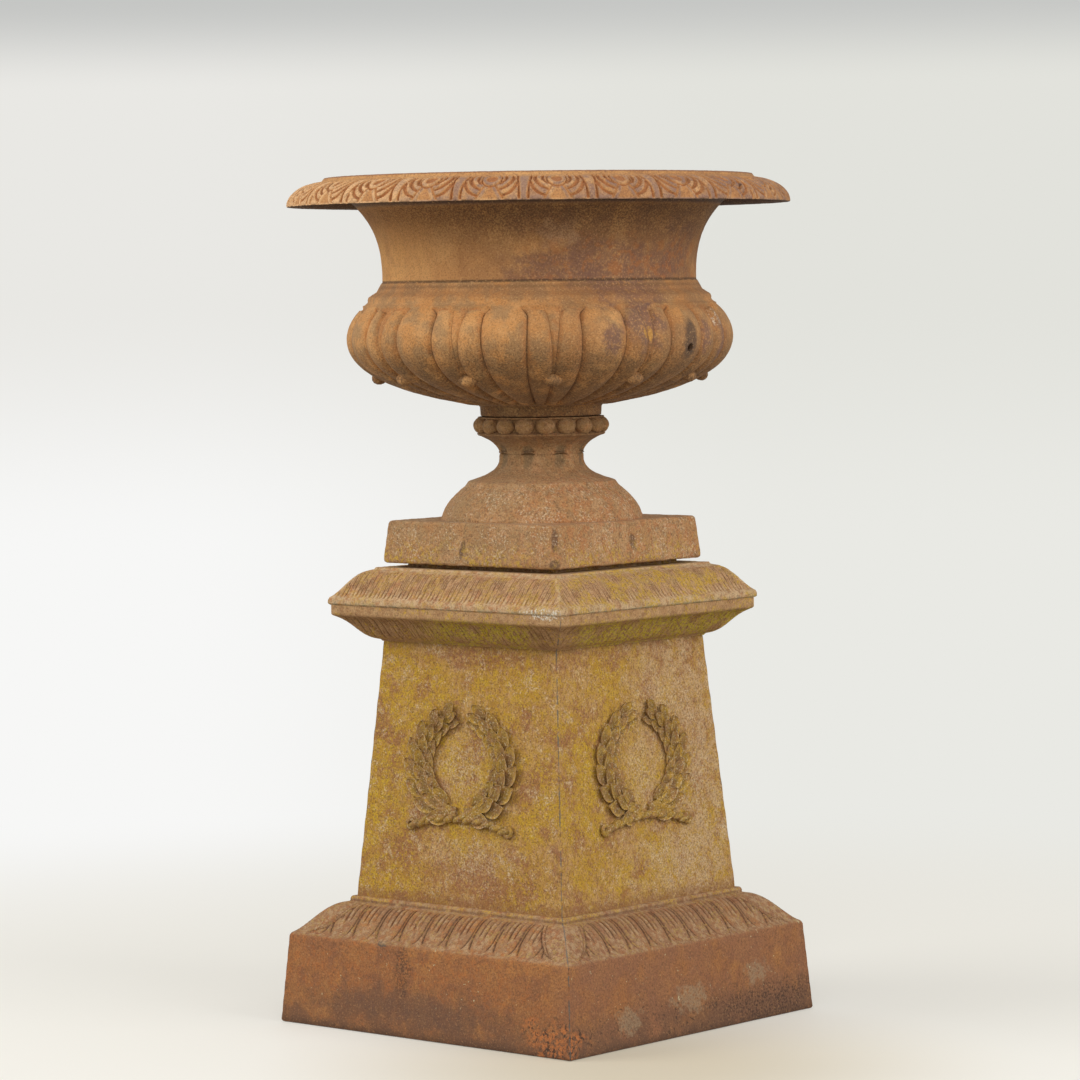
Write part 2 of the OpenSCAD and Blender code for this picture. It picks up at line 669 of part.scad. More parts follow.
// Hollows of one leaf of the rim: two fingers cut with a chisel on each side, spread over half
// a leaf, a dished boss between them, and the flat channel of the bar to the next leaf
fingers = [0.4, 0.66];
finger_l = 40;
finger_tilt = 14;
dish_r = 14;
bar_w = 12;
module rim_leaf(a) {
    half = 180 / rim_leaves;
    on_band(a + half, 0.5) translate([-finger_l / 2, -bar_w / 2, -band_cut])
        cube([finger_l, bar_w, 2 * band_cut]);
    for (f = fingers, s = [-1, 1]) on_band(a + s * f * half, 0.46)
        rotate([0, 0, s * finger_tilt]) translate([0, 0, band_cut]) rotate([45, 0, 0])
            cube([finger_l, 2 * sqrt(2) * band_cut, 2 * sqrt(2) * band_cut], center = true);
    on_band(a, 0.72) translate([0, 0, dish_r - band_cut]) sphere(r = dish_r);
}

module urn_rim() {
    flare = neck_r + 27;
    under = concat(
        curve([[neck_r, z_neck], [neck_r - 1, z_neck + 42], [neck_r + 8, z_neck + 70],
            [flare, z_neck + 93]], 8),
        curve([[flare + 6, z_neck + 100], [flare + 28, z_rim - 16], [rim_r - 30, z_rim - 10],
            [rim_r - 9, z_rim - 34]], 8));
    band = concat([[rim_r - 5, z_rim - 39], [rim_r - 1, z_rim - 39]], curve(rim_band, 5));
    mouth = concat([[ring_r + 3, z_rim - 4], [ring_r, z_rim], [ring_r - 9, z_rim]],
        curve([[ring_r - 13, z_rim - 3], [ring_r - 33, z_rim - 17],
            [neck_r - urn_wall - 1, z_neck + 85], [neck_r - urn_wall - 1, z_neck + 30]], 10),
        [[neck_r - urn_wall - 1, z_neck + neck_flange_t],
         [neck_r - urn_wall - neck_flange_w, z_neck + neck_flange_t],
         [neck_r - urn_wall - neck_flange_w, z_neck]]);
    color(rust) difference() {
        rotate_extrude() polygon(concat(under, band, mouth));
        for (k = [0 : rim_leaves - 1]) rim_leaf(k * 360 / rim_leaves);
        place_neck_bolts() translate([0, 0, -1])
            cylinder(d = neck_bolt_d + 2 * bolt_gap, h = neck_flange_t + 2);
        rotate([0, 0, rim_hole_a]) translate([rim_r - 14, 0, z_rim - 18]) rotate([0, 45, 0])
            cylinder(d = rim_hole_d, h = 50, center = true);
    }
}

module place_neck_bolts() {
    for (i = [0 : neck_bolts - 1]) rotate([0, 0, 15 + 360 / neck_bolts * i])
        translate([neck_bolt_r, 0, z_neck]) children();
}

module neck_bolts_set() {
    color(steel) place_neck_bolts() translate([0, 0, neck_flange_t]) mirror([0, 0, 1])
        bolt(neck_bolt_d, 2 * neck_flange_t + neck_bolt_d * 1.1);
}

module neck_nuts() {
    color(steel) place_neck_bolts() translate([0, 0, -neck_flange_t]) mirror([0, 0, 1]) nut(neck_bolt_d);
}

// Tie rod from the web in the foot up to the bowl's floor
rod_low = z_block + 42;
rod_high = z_floor + 2 + floor_t;
module tie_rod() {
    over = rod_washer_t + rod_nut_h + 5;
    color(steel) translate([0, 0, rod_low - over]) cylinder(d = rod_d, h = rod_high - rod_low + 2 * over);
}

module tie_rod_nuts() {
    color(steel) {
        translate([0, 0, rod_high + rod_washer_t]) nut(rod_d);
        translate([0, 0, rod_low - rod_washer_t]) mirror([0, 0, 1]) nut(rod_d);
    }
}

module tie_rod_washers() {
    color(steel) for (z = [rod_high, rod_low - rod_washer_t]) translate([0, 0, z]) difference() {
        cylinder(r = rod_washer_r, h = rod_washer_t);
        translate([0, 0, -1]) cylinder(d = rod_d + 0.6, h = rod_washer_t + 2);
    }
}

base_side(0);  // base_front
base_side(1);  // base_right
base_side(2);  // base_back
base_side(3);  // base_left
panel(0);  // panel_front
panel(1);  // panel_right
panel(2);  // panel_back
panel(3);  // panel_left
cornice(0);  // cornice_front
cornice(1);  // cornice_right
cornice(2);  // cornice_back
cornice(3);  // cornice_left
cap_plate();
wreath(0);  // wreath_front
wreath(1);  // wreath_right
wreath(2);  // wreath_back
wreath(3);  // wreath_left
wreath_screws();
corner_bolts();
corner_nuts();
flange_bolts();
flange_nuts();
cap_bolts();
urn_foot();
urn_collar();
urn_bowl();
urn_rim();
neck_bolts_set();
neck_nuts();
tie_rod();
tie_rod_nuts();
tie_rod_washers();
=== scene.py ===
"""Garden urn on its pedestal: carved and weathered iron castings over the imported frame."""

import json
import math

import bpy
import numpy as np
from mathutils import Matrix, Vector


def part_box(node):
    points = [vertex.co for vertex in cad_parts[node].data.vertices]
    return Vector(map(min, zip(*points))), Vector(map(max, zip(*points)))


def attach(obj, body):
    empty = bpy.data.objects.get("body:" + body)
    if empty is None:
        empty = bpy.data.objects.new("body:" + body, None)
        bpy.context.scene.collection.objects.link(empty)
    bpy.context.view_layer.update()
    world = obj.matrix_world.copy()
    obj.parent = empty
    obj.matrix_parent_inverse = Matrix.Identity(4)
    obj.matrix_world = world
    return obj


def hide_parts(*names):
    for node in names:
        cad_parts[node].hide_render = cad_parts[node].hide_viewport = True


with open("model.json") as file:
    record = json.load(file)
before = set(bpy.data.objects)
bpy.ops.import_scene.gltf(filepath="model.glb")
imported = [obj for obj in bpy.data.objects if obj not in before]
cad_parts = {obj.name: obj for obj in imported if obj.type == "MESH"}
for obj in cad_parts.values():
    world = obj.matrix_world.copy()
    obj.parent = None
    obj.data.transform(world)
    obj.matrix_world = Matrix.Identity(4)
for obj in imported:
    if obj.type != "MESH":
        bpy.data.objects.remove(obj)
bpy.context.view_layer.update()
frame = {"nodes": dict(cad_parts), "record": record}

bl_info = {
    "name": "Pedestal planter castings",
    "version": (1, 0, 0),
    "blender": (4, 5, 0),
    "location": "View3D > Sidebar > Planter",
    "description": "Carved and weathered castings of a garden urn on its pedestal",
    "category": "Object",
}

MM = 0.001
# The photo's camera: its place in metres and its level direction to the right
CAMERA_AT = (3.8375, -4.4651, 0.99526)
CAMERA_RIGHT = (0.758, 0.652, 0)
SIDES = ("front", "right", "back", "left")
# How many times each ornament of the urn comes round
RIM_LEAVES, LOBES, BEADS, FLUTES, FOOT_LEAVES = 24, 12, 18, 8, 16
# How far up the shaft a wreath's middle sits, in millimetres
WREATH_UP = 187

# Levels of the castings in millimetres, read from the frame
Z_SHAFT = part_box("panel_front")[0].z / MM
Z_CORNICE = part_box("cornice_front")[0].z / MM

# Half widths of the square stages and of the openings inside their flanges, in millimetres
SHAFT_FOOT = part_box("panel_front")[1].x / MM
SHAFT_HEAD = 155.5
FOOT_FLANGE = SHAFT_FOOT - 40
HEAD_FLANGE = SHAFT_HEAD - 40
CAP_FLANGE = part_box("cap_plate")[1].x / MM - 54
BATTER = math.atan((SHAFT_FOOT - SHAFT_HEAD) / (Z_CORNICE - Z_SHAFT))


def linear(code):
    """The linear colour of an sRGB hex value."""
    parts = [int(code[i:i + 2], 16) / 255 for i in (1, 3, 5)]
    return tuple(c / 12.92 if c <= 0.04045 else ((c + 0.055) / 1.055) ** 2.4 for c in parts)


def distance(label, default, where):
    """A length property with its default in millimetres."""
    return bpy.props.FloatProperty(name=label, description=where, default=default * MM, unit="LENGTH")


class PlanterCarving(bpy.types.PropertyGroup):
    """Depths and spacings of the ornament."""

    rim_depth: distance("Rim ornament depth", 4.2, "Depth of the hollows between the leaves of the rim")
    lobe_depth: distance("Lobe groove depth", 8.5, "Depth of the grooves beside the bowl's lobes")
    leaf_pitch: distance("Leaf spacing", 42, "Distance between the leaves of the base moulding")
    leaf_depth: distance("Leaf groove depth", 3.1, "Depth of the grooves of the base moulding")
    cap_pitch: distance("Cap stroke spacing", 6.6, "Distance between the strokes of the cap's feathering")
    cornice_pitch: distance("Cornice stroke spacing", 9.5, "Distance between the grooves under the cap")


def tint(label, code, where):
    """A colour property with its default given as an sRGB hex value."""
    return bpy.props.FloatVectorProperty(
        name=label, description=where, subtype="COLOR", size=3, min=0, max=1, default=linear(code))


class PlanterFinish(bpy.types.PropertyGroup):
    """Colours of the rust, the lichen and the joints."""

    umber: tint("Dark rust", "#4c3222", "Rust in the finest pits")
    yellow: tint("Yellow lichen", "#c7a02e", "Crust lichen on the mouldings")
    putty: tint("Grey putty", "#64625b", "Old filler in the joints")


class PlanterStage(bpy.types.PropertyGroup):
    """The studio round the planter."""

    paper: tint("Studio floor", "#f3f0e7", "Floor round the object")
    bounce: tint("Floor's bounce", "#a39c8c", "Colour of the light that the floor throws back up")
    bright: tint("Backdrop left", "#f7f7f6", "Background at the left, where it is brightest")
    dull: tint("Backdrop right", "#e9e9e4", "Background at the right")
    key: bpy.props.FloatProperty(
        name="Key light", description="Power of the brightest soft light", default=81, min=0, unit="POWER")
    sky: bpy.props.FloatProperty(
        name="Fill", description="Strength of the even light from all round", default=0.5, min=0)
    lens: bpy.props.FloatProperty(
        name="Focal length", description="Focal length of the camera", default=143.8, min=1,
        subtype="DISTANCE_CAMERA")


def carving():
    """The ornament's sizes."""
    return bpy.context.scene.planter_carving


def finish():
    """The colours of the finish."""
    return bpy.context.scene.planter_finish


# Sections: arrays of rows with radius or half width, height and place along the ornament

def bezier(a, b, c, d, n=24):
    """Points along a cubic curve."""
    t = np.linspace(0, 1, n + 1)[:, None]
    a, b, c, d = (np.array(p, float) for p in (a, b, c, d))
    return (1 - t) ** 3 * a + 3 * t * (1 - t) ** 2 * b + 3 * t * t * (1 - t) * c + t ** 3 * d


def ogee(a, b, lead, tail):
    """An ogee from a to b, with its two handles given as shares of the way across and up."""
    (ax, az), (bx, bz) = a, b
    dx, dz = bx - ax, bz - az
    return bezier(a, (ax + dx * lead[0], az + dz * lead[1]), (bx - dx * tail[0], bz - dz * tail[1]), b)


def rows(points, spacing, carved=False):
    """Points spaced evenly along a line, with the distance from its start where it is carved."""
    points = np.array(points, float)
    run = np.concatenate([[0], np.cumsum(np.linalg.norm(np.diff(points, axis=0), axis=1))])
    at = np.linspace(0, run[-1], max(1, round(run[-1] / spacing)) + 1)
    mark = at if carved else np.full(len(at), np.nan)
    return np.column_stack([np.interp(at, run, points[:, 0]), np.interp(at, run, points[:, 1]), mark])


def joined(*parts):
    """One section from several runs of rows, without the points that two runs share."""
    section = np.concatenate(parts)
    apart = np.linalg.norm(np.diff(section[:, :2], axis=0), axis=1) > 0.05
    keep = np.concatenate([[True], apart])
    if np.linalg.norm(section[0, :2] - section[-1, :2]) < 0.05:
        keep[-1] = False
    return section[keep]


def outward(section):
    """Unit normals of a closed section, pointing out of the metal."""
    p = section[:, :2]
    along = np.roll(p, -1, 0) - np.roll(p, 1, 0)
    turn = np.sum(p[:, 0] * np.roll(p[:, 1], -1) - np.roll(p[:, 0], -1) * p[:, 1])
    n = np.column_stack([along[:, 1], -along[:, 0]]) * np.sign(turn)
    return n / np.maximum(np.linalg.norm(n, axis=1), 1e-9)[:, None]


# Modelling by hand, in edit mode

def deselect():
    """Leaves nothing selected."""
    for obj in bpy.context.selected_objects:
        obj.select_set(False)


def activate(obj):
    """Selects one object alone."""
    deselect()
    obj.select_set(True)
    bpy.context.view_layer.objects.active = obj


def mode(name):
    """Goes to edit mode or back to object mode."""
    bpy.ops.object.mode_set(mode=name)


def pick(action):
    """Selects the whole mesh in edit mode, or none of it."""
    bpy.ops.mesh.select_all(action=action)


def merge(gap):
    """Selects the whole mesh and merges vertices that lie closer than a gap in millimetres."""
    pick("SELECT")
    bpy.ops.mesh.remove_doubles(threshold=gap * MM)


def extrude(move):
    """Extrudes what is selected."""
    bpy.ops.mesh.extrude_region_move(TRANSFORM_OT_translate={"value": move})


def solid(kind, scale=(1, 1, 1), **settings):
    """Adds one of the simple shapes, with its place, turn and scale applied to its mesh."""
    deselect()
    getattr(bpy.ops.mesh, "primitive_" + kind + "_add")(**settings)
    obj = bpy.context.object
    obj.scale = scale
    bpy.ops.object.transform_apply(location=True, rotation=True, scale=True)
    return obj


def pose(at, turn, axis="Z"):
    """A matrix that turns by radians about an axis and then moves to a place in millimetres."""
    return Matrix.Translation(Vector(at) * MM) @ Matrix.Rotation(turn, 4, axis)


def around(radius, angle, z):
    """A place in millimetres at an angle in degrees round the axis."""
    return radius * math.cos(math.radians(angle)), radius * math.sin(math.radians(angle)), z


def strung(count, first, at, kind, scale, **settings):
    """A ring of simple shapes round the axis, from the first one's angle, place and scale."""
    shapes = [solid(kind, scale, **settings) for _ in range(count)]
    for turn, shape in enumerate(shapes):
        shape.data.transform(Matrix.Translation(Vector(at) * MM))
        shape.data.transform(Matrix.Rotation(math.radians(first + 360 / count * turn), 4, "Z"))
    return shapes


def draw(name, points):
    """Draws a closed line through points by extruding one vertex, and stays in edit mode."""
    deselect()
    bpy.ops.mesh.primitive_plane_add(size=MM)
    obj = bpy.context.object
    obj.name = obj.data.name = name
    mode("EDIT")
    pick("SELECT")
    bpy.ops.mesh.merge(type="CENTER")
    points = [Vector(p) for p in points]
    bpy.ops.transform.translate(value=points[0])
    for a, b in zip(points, points[1:] + points[:1]):
        extrude(b - a)
    merge(0.01)
    pick("SELECT")
    return obj


def weld():
    """Merges what meets, turns the faces outward and goes back to object mode."""
    merge(0.02)
    bpy.ops.mesh.normals_make_consistent(inside=False)
    mode("OBJECT")


def corners(obj):
    """The places of a mesh's vertices in millimetres."""
    co = np.empty(len(obj.data.vertices) * 3)
    obj.data.vertices.foreach_get("co", co)
    return co.reshape(-1, 3) / MM


def place(obj, co):
    """Moves a mesh's vertices to places in millimetres."""
    obj.data.vertices.foreach_set("co", (co * MM).ravel())
    obj.data.update()


def nearest(section, across, z):
    """The row of a section that each point lies on."""
    near = np.empty(len(z), int)
    for some in np.array_split(np.arange(len(z)), 1 + len(z) // 20000):
        gap = (across[some, None] - section[:, 0]) ** 2 + (z[some, None] - section[:, 1]) ** 2
        near[some] = gap.argmin(1)
    return near


def sink(obj, section, across, along, relief):
    """Carves a mesh: each vertex goes in along the section's normal as deep as relief says.

    across is how far out each vertex stands and along its place round the piece. How far each
    vertex lies in a hollow, from 0 to 1, is kept on the mesh as the attribute hollow."""
    near = nearest(section, across, corners(obj)[:, 2])
    at = section[near, 2]
    carved = ~np.isnan(at)
    depth, share = np.zeros(len(at)), np.zeros(len(at))
    depth[carved], share[carved] = relief(along[carved], at[carved])
    store(obj, "hollow", share)
    return depth[:, None] * -outward(section)[near]


def store(obj, name, values):
    """Keeps a number for each vertex."""
    layer = obj.data.attributes.get(name) or obj.data.attributes.new(name, "FLOAT", "POINT")
    layer.data.foreach_set("value", np.asarray(values, np.float32))


def turned(name, section, sectors, steps, relief=None, gather=None):
    """Spins a section into one sector, carves it, and spins copies of it round the axis.

    gather may turn the columns of the sector to where the ornament needs them."""
    pitch = 2 * math.pi / sectors
    obj = draw(name, [(r * MM, 0, z * MM) for r, z, _ in section])
    bpy.ops.mesh.spin(steps=steps, angle=pitch, center=(0, 0, 0), axis=(0, 0, 1))
    merge(0.01)
    if relief:
        mode("OBJECT")
        co = corners(obj)
        out, angle = np.hypot(co[:, 0], co[:, 1]), np.arctan2(co[:, 1], co[:, 0])
        if gather:
            angle = gather(obj, section, out, angle)
        move = sink(obj, section, out, np.degrees(angle), relief)
        out += move[:, 0]
        co = np.column_stack([out * np.cos(angle), out * np.sin(angle), co[:, 2] + move[:, 1]])
        place(obj, co)
        mode("EDIT")
    pick("SELECT")
    bpy.ops.mesh.spin(steps=sectors - 1, dupli=True, angle=pitch * (sectors - 1),
                      center=(0, 0, 0), axis=(0, 0, 1))
    weld()
    return obj


def run_side(name, section, spacing, relief=None, mitre=0.0, capped=True):
    """Draws a section out along the front side, cuts both mitres and carves it."""
    half = section[:, 0].max() + 4
    obj = draw(name, [(-half * MM, -y * MM, z * MM) for y, z, _ in section])
    if capped:
        bpy.ops.mesh.edge_face_add()
    length = 2 * half / 3
    for _ in range(3):
        extrude((length * MM, 0, 0))
    bpy.ops.mesh.select_mode(type="EDGE")
    pick("DESELECT")
    mode("OBJECT")
    mesh = obj.data
    for edge in mesh.edges:
        a, b = (mesh.vertices[i].co for i in edge.vertices)
        edge.select = abs(a.x - b.x) > length / 2 * MM
    mode("EDIT")
    bpy.ops.mesh.subdivide(number_cuts=round(length / spacing) - 1)
    bpy.ops.mesh.select_mode(type="VERT")
    for way in (1, -1):
        pick("SELECT")
        bpy.ops.mesh.bisect(plane_co=(0, 0, 0), plane_no=(way, 1, 0), use_fill=capped, clear_outer=True)
    weld()
    co = corners(obj)
    on_mitre = np.abs(np.abs(co[:, 0]) + co[:, 1]) < 0.12
    co[on_mitre, 0] = -np.sign(co[on_mitre, 0]) * co[on_mitre, 1]
    move = sink(obj, section, -co[:, 1], co[:, 0], relief or plain)
    # A shallow groove along each mitre, where the joint was filled
    move[:, 0] -= mitre * np.exp(-((np.abs(co[:, 0]) + co[:, 1]) / 1.3) ** 2)
    co[:, 1] -= move[:, 0]
    co[:, 2] += move[:, 1]
    co[:, 0] = np.sign(co[:, 0]) * np.minimum(np.abs(co[:, 0]), -co[:, 1])
    place(obj, co)
    mode("EDIT")
    weld()
    return obj


def copied(obj, name, turns):
    """A copy of a piece on its own mesh, turned by quarter turns about the axis."""
    made = obj.copy()
    made.data = obj.data.copy()
    made.name = made.data.name = name
    bpy.context.scene.collection.objects.link(made)
    made.data.transform(Matrix.Rotation(math.pi / 2 * turns, 4, "Z"))
    return made


def combined(name, objects):
    """Joins pieces into one."""
    activate(objects[0])
    for obj in objects[1:]:
        obj.select_set(True)
    bpy.ops.object.join()
    obj = bpy.context.object
    obj.name = obj.data.name = name
    return obj


def ring_of(side, name):
    """Joins a side and three quarter-turned copies of it into one square ring."""
    return combined(name, [side] + [copied(side, side.name + "_" + SIDES[turn], turn) for turn in (1, 2, 3)])


def mitred(obj):
    """Merges the sides of a square ring where they meet on its mitres."""
    mode("EDIT")
    pick("DESELECT")
    mode("OBJECT")
    co = np.abs(corners(obj))
    obj.data.vertices.foreach_set("select", np.abs(co[:, 0] - co[:, 1]) < 0.3)
    mode("EDIT")
    bpy.ops.mesh.remove_doubles(threshold=0.3 * MM)
    pick("SELECT")
    bpy.ops.mesh.fill_holes(sides=0)
    weld()


def rounded(obj, radius):
    """Rounds the upright corners of a square ring of sides."""
    co = corners(obj)
    half = np.abs(co[:, :2])
    inner = half.max(1) - radius
    past = half - inner[:, None]
    corner = past.min(1) > 0
    reach = radius / np.maximum(np.linalg.norm(past, axis=1), 1e-6)
    half[corner] = (inner[:, None] + past * reach[:, None])[corner]
    co[:, :2] = np.sign(co[:, :2]) * half
    place(obj, co)


def modify(obj, kind, **settings):
    """Adds a modifier and applies it."""
    activate(obj)
    modifier = obj.modifiers.new(kind.title(), kind)
    for key, value in settings.items():
        setattr(modifier, key, value)
    bpy.ops.object.modifier_apply(modifier=modifier.name)


def eaten(obj, grain, depth, **settings):
    """Eats the surface away unevenly, as rust does, in pits about as wide as grain."""
    cloud = bpy.data.textures.new("rust_pits", "CLOUDS")
    cloud.noise_scale = grain * MM
    cloud.noise_depth = 3
    modify(obj, "DISPLACE", texture=cloud, texture_coords="LOCAL", mid_level=1.0,
           strength=depth * MM, **settings)


def eaten_side(obj, grain, depth):
    """Eats one mitred side away square to its face, so that it still meets its neighbours."""
    before = corners(obj)
    eaten(obj, grain, -depth, direction="Y")
    fade = smooth(0, 12, -before[:, 1] - np.abs(before[:, 0]))[:, None]
    place(obj, before + (corners(obj) - before) * fade)


def bored(obj, at, direction, radius, length):
    """Bores a round hole through a piece."""
    deselect()
    turn = Vector(direction).to_track_quat("Z", "Y").to_euler()
    bpy.ops.mesh.primitive_cylinder_add(vertices=32, radius=radius * MM, depth=length * MM,
                                        location=Vector(at) * MM, rotation=turn)
    drill = bpy.context.object
    modify(obj, "BOOLEAN", object=drill, operation="DIFFERENCE", solver="MANIFOLD")
    bpy.data.objects.remove(drill)


def done(obj, body, nodes, material, angle=40):
    """Finishes a piece: smooth shading, its material, its body and the nodes it stands for."""
    activate(obj)
    bpy.ops.object.shade_smooth_by_angle(angle=math.radians(angle))
    obj.data.materials.clear()
    obj.data.materials.append(material)
    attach(obj, body)
    if nodes:
        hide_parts(*nodes)


def set_round(side, stem, node, iron, angle=40):
    """Finishes a side and sets a quarter-turned copy of it on each other face."""
    for turn, name in enumerate(SIDES):
        piece = side if turn == 0 else copied(side, stem + name, turn)
        done(piece, "pedestal", [node + name], iron, angle)


# Ornament: the depth below the crest in millimetres, and how far into a hollow that is, 0 to 1

def plain(x, along):
    """No carving at all."""
    return np.zeros(len(x)), np.zeros(len(x))


def smooth(low, high, value):
    """0 below low, 1 above high and a soft step between."""
    t = np.clip((value - low) / (high - low), 0, 1)
    return t * t * (3 - 2 * t)


def gouge(x, y, line, width):
    """How much of a tool stroke lies over each point: 1 on its line, 0 outside its width."""
    path = bezier(*line, n=14)
    best = np.full(len(x), 1e9)
    for i in range(len(path) - 1):
        a, d = path[i], path[i + 1] - path[i]
        t = np.clip(((x - a[0]) * d[0] + (y - a[1]) * d[1]) / max(d @ d, 1e-9), 0, 1)
        taper = width * (0.55 + 0.45 * math.sin(math.pi * (i + 0.7) / len(path)))
        best = np.minimum(best, np.hypot(x - a[0] - t * d[0], y - a[1] - t * d[1]) / taper)
    return smooth(0, 1, np.clip(1 - best ** 2, 0, 1))


# Grooves between the fingers of half a leaf of the rim: four points, width and depth as a share
RIM_FINGERS = [
    (((12, 26), (17, 33), (22, 42), (17, 58)), 3.0, 0.95),
    (((14, 17), (25, 23), (33, 38), (27, 58)), 3.5, 1.0),
    (((17, 7), (29, 10), (37, 24), (35, 47)), 3.1, 0.9),
]


def rim_relief(angle, y):
    """Scrolled leaves and bars round the turned-down lip: x from a leaf's middle, y up from its edge."""
    # The angle that one leaf takes up, and half its width in millimetres
    unit, half = 360 / RIM_LEAVES, 43.5
    x = np.abs((angle + unit / 2) % unit - unit / 2) / unit * 2 * half
    depth = 0.25 * smooth(10, 30, x) * smooth(0, 10, y)
    for line, width, share in RIM_FINGERS:
        depth = np.maximum(depth, share * gouge(x, y, line, width))
    # The oval boss over the middle, dished inside a raised ring
    ring = np.hypot(x / 10.5, (y - 42) / 15.5)
    depth = np.where(ring < 1.2, 0, depth)
    depth = np.maximum(depth, 0.7 * smooth(0.84, 0.62, ring))
    depth = np.maximum(depth, 0.9 * np.exp(-((ring - 1.3) / 0.1) ** 2) * (y < 56))
    # The pointed hollow under it between two spreading ribs, with a low stem in it
    rib = 13.0 * (1 - y / 27) + 1.0
    depth = np.maximum(depth, 0.4 * smooth(0, 3.5, rib - x) * (ring > 1.2))
    depth = np.maximum(depth, 0.55 * smooth(3.0, 0.4, np.abs(x - rib - 4.2)) * smooth(27, 22, y) * (x > rib))
    # The bar between two leaves stands full between two grooves and widens upwards
    bar = half - x
    wide = 4.8 + 3.4 * smooth(10, 56, y)
    body = 0.35 * (bar / wide) ** 2
    side = np.clip(1 - ((bar - wide - 1.2) / 1.9) ** 2, 0, 1)
    depth = np.where(bar < wide, body, np.where(bar < wide + 3.2, side, depth))
    lip = smooth(0, 3.0, y) * smooth(61.5, 57.5, y)
    return size("rim_depth") * depth * lip, depth * lip


def size(name):
    """One of the ornament's sizes in millimetres."""
    return getattr(carving(), name) / MM


# Half the angle of a lobe and its two tongues, and the shares of its columns up to their edges
HALF_LOBE = 180 / LOBES
TO_LOBE, TO_TONGUE = 0.46, 0.88
# The depth of a tongue across its width
TONGUE = ((0, 0.07, 0.18, 0.32, 0.48, 0.62, 0.76, 0.87, 0.95, 1),
          (1, 0.74, 0.50, 0.30, 0.19, 0.16, 0.22, 0.40, 0.68, 0.92))


def lobe_lines(q):
    """Angles of a lobe's edge and of the fillet between two tongues, by place down the belly."""
    lobe = 6.9 * (0.3 + 0.7 * np.sqrt(np.clip(1 - (1 - np.minimum(1, q / 0.26)) ** 2, 0, 1)))
    lobe = lobe * (1 - 0.22 * np.maximum(0, q - 0.4))
    return lobe, HALF_LOBE - (0.5 + 2.7 * (1 - np.minimum(1, q / 0.6)) ** 1.2)


def bowl_columns(obj, section, out, angle):
    """Turns the bowl's columns so that they run along the edges of its lobes and tongues."""
    q = section[nearest(section, out, corners(obj)[:, 2]), 2]
    lobe, fillet = lobe_lines(np.nan_to_num(q, nan=0.5))
    unit = np.degrees(angle) / HALF_LOBE
    share = np.abs((unit + 1) % 2 - 1)
    on_tongue = lobe + (share - TO_LOBE) / (TO_TONGUE - TO_LOBE) * (fillet - lobe)
    on_fillet = fillet + (share - TO_TONGUE) / (1 - TO_TONGUE) * (HALF_LOBE - fillet)
    here = np.where(share < TO_TONGUE, on_tongue, on_fillet)
    here = np.where(share < TO_LOBE, share / TO_LOBE * lobe, here)
    here = np.where(np.isnan(q), share * HALF_LOBE, here)
    centre = 2 * HALF_LOBE * np.round(unit / 2)
    return np.radians(centre + np.sign(unit - 2 * np.round(unit / 2)) * here)


def bowl_relief(angle, q):
    """Egg-shaped lobes with a pair of tongues between each two; q runs 0 to 1 down the belly."""
    half = HALF_LOBE
    a = np.abs((angle + half) % (2 * half) - half)
    lobe, fillet = lobe_lines(q)
    strip = half - fillet
    tongue = np.maximum(fillet - lobe, 0.3)
    t = np.clip(a / np.maximum(lobe, 0.1), 0, 1)
    over_lobe = (1 - np.sqrt(1 - 0.97 * t ** 2)) / 0.827
    over_tongue = np.interp((a - lobe) / tongue, *TONGUE)
    # A tongue ends above in an arch of its own
    arch = smooth(0.15, 0.05, q - 0.05 * np.abs((a - lobe) / tongue - 0.5) * 2)
    over_tongue = np.maximum(over_tongue, 0.9 * arch)
    over_strip = 0.8 + 0.06 * np.clip((half - a) / strip, 0, 1)
    share = np.where(a < lobe, over_lobe, np.where(a < half - strip, over_tongue, over_strip))
    groove = np.exp(-((a - lobe) / 0.34) ** 2) + 0.7 * np.exp(-((a - half + strip) / 0.26) ** 2)
    share = np.maximum(share, smooth(0.05, 0, q)) + 0.2 * groove * smooth(0.01, 0.06, q)
    strength = np.minimum(1, 0.1 + q * 8) * (1 - 0.42 * q)
    hollow = np.minimum(1, 0.5 * share + 0.6 * groove) * smooth(0.0, 0.05, q)
    return size("lobe_depth") * strength * share, hollow


def base_relief(x, along):
    """Leaves over the base moulding, with a plain leaf at each corner; along runs up from the skirt."""
    pitch = size("leaf_pitch")
    half = np.interp(along, LEAF_ROWS[:, 2], LEAF_ROWS[:, 0])
    room = half - np.abs(x)
    v = along / LEAF_RUN
    u = np.abs((x + pitch / 2) % pitch - pitch / 2)
    # The two grooves that bound a leaf run beside its neighbours' above and draw together below
    edge = (pitch / 2 - 2.3) * (0.3 + 0.7 * np.sqrt(np.clip(1 - (np.clip(0.46 - v, 0, 1) / 0.46) ** 2, 0, 1)))
    line = np.exp(-((u - edge) / 1.5) ** 2) * smooth(0.01, 0.16, v)
    rib = 0.95 * np.exp(-(u / 1.4) ** 2) * smooth(0.3, 0.5, v)
    side = 0.85 * np.exp(-((u - 8.6) / 1.3) ** 2) * smooth(0.36, 0.56, v)
    dome = 0.42 * (u / edge) ** 2 * (u < edge)
    own = 33 + 10 * np.sin(np.pi * np.clip(v, 0, 1)) - 12 * smooth(0.25, 0, v)
    corner = smooth(own + 1, own - 1, room)
    ring = np.exp(-((room - own) / 1.1) ** 2) + 0.75 * np.exp(-((room - own + 6) / 0.95) ** 2)
    depth = np.maximum.reduce([line, rib, side, dome]) * (1 - corner)
    share = np.maximum(depth, ring * smooth(0.02, 0.1, v)) * smooth(1.0, 0.95, v)
    return size("leaf_depth") * share, share


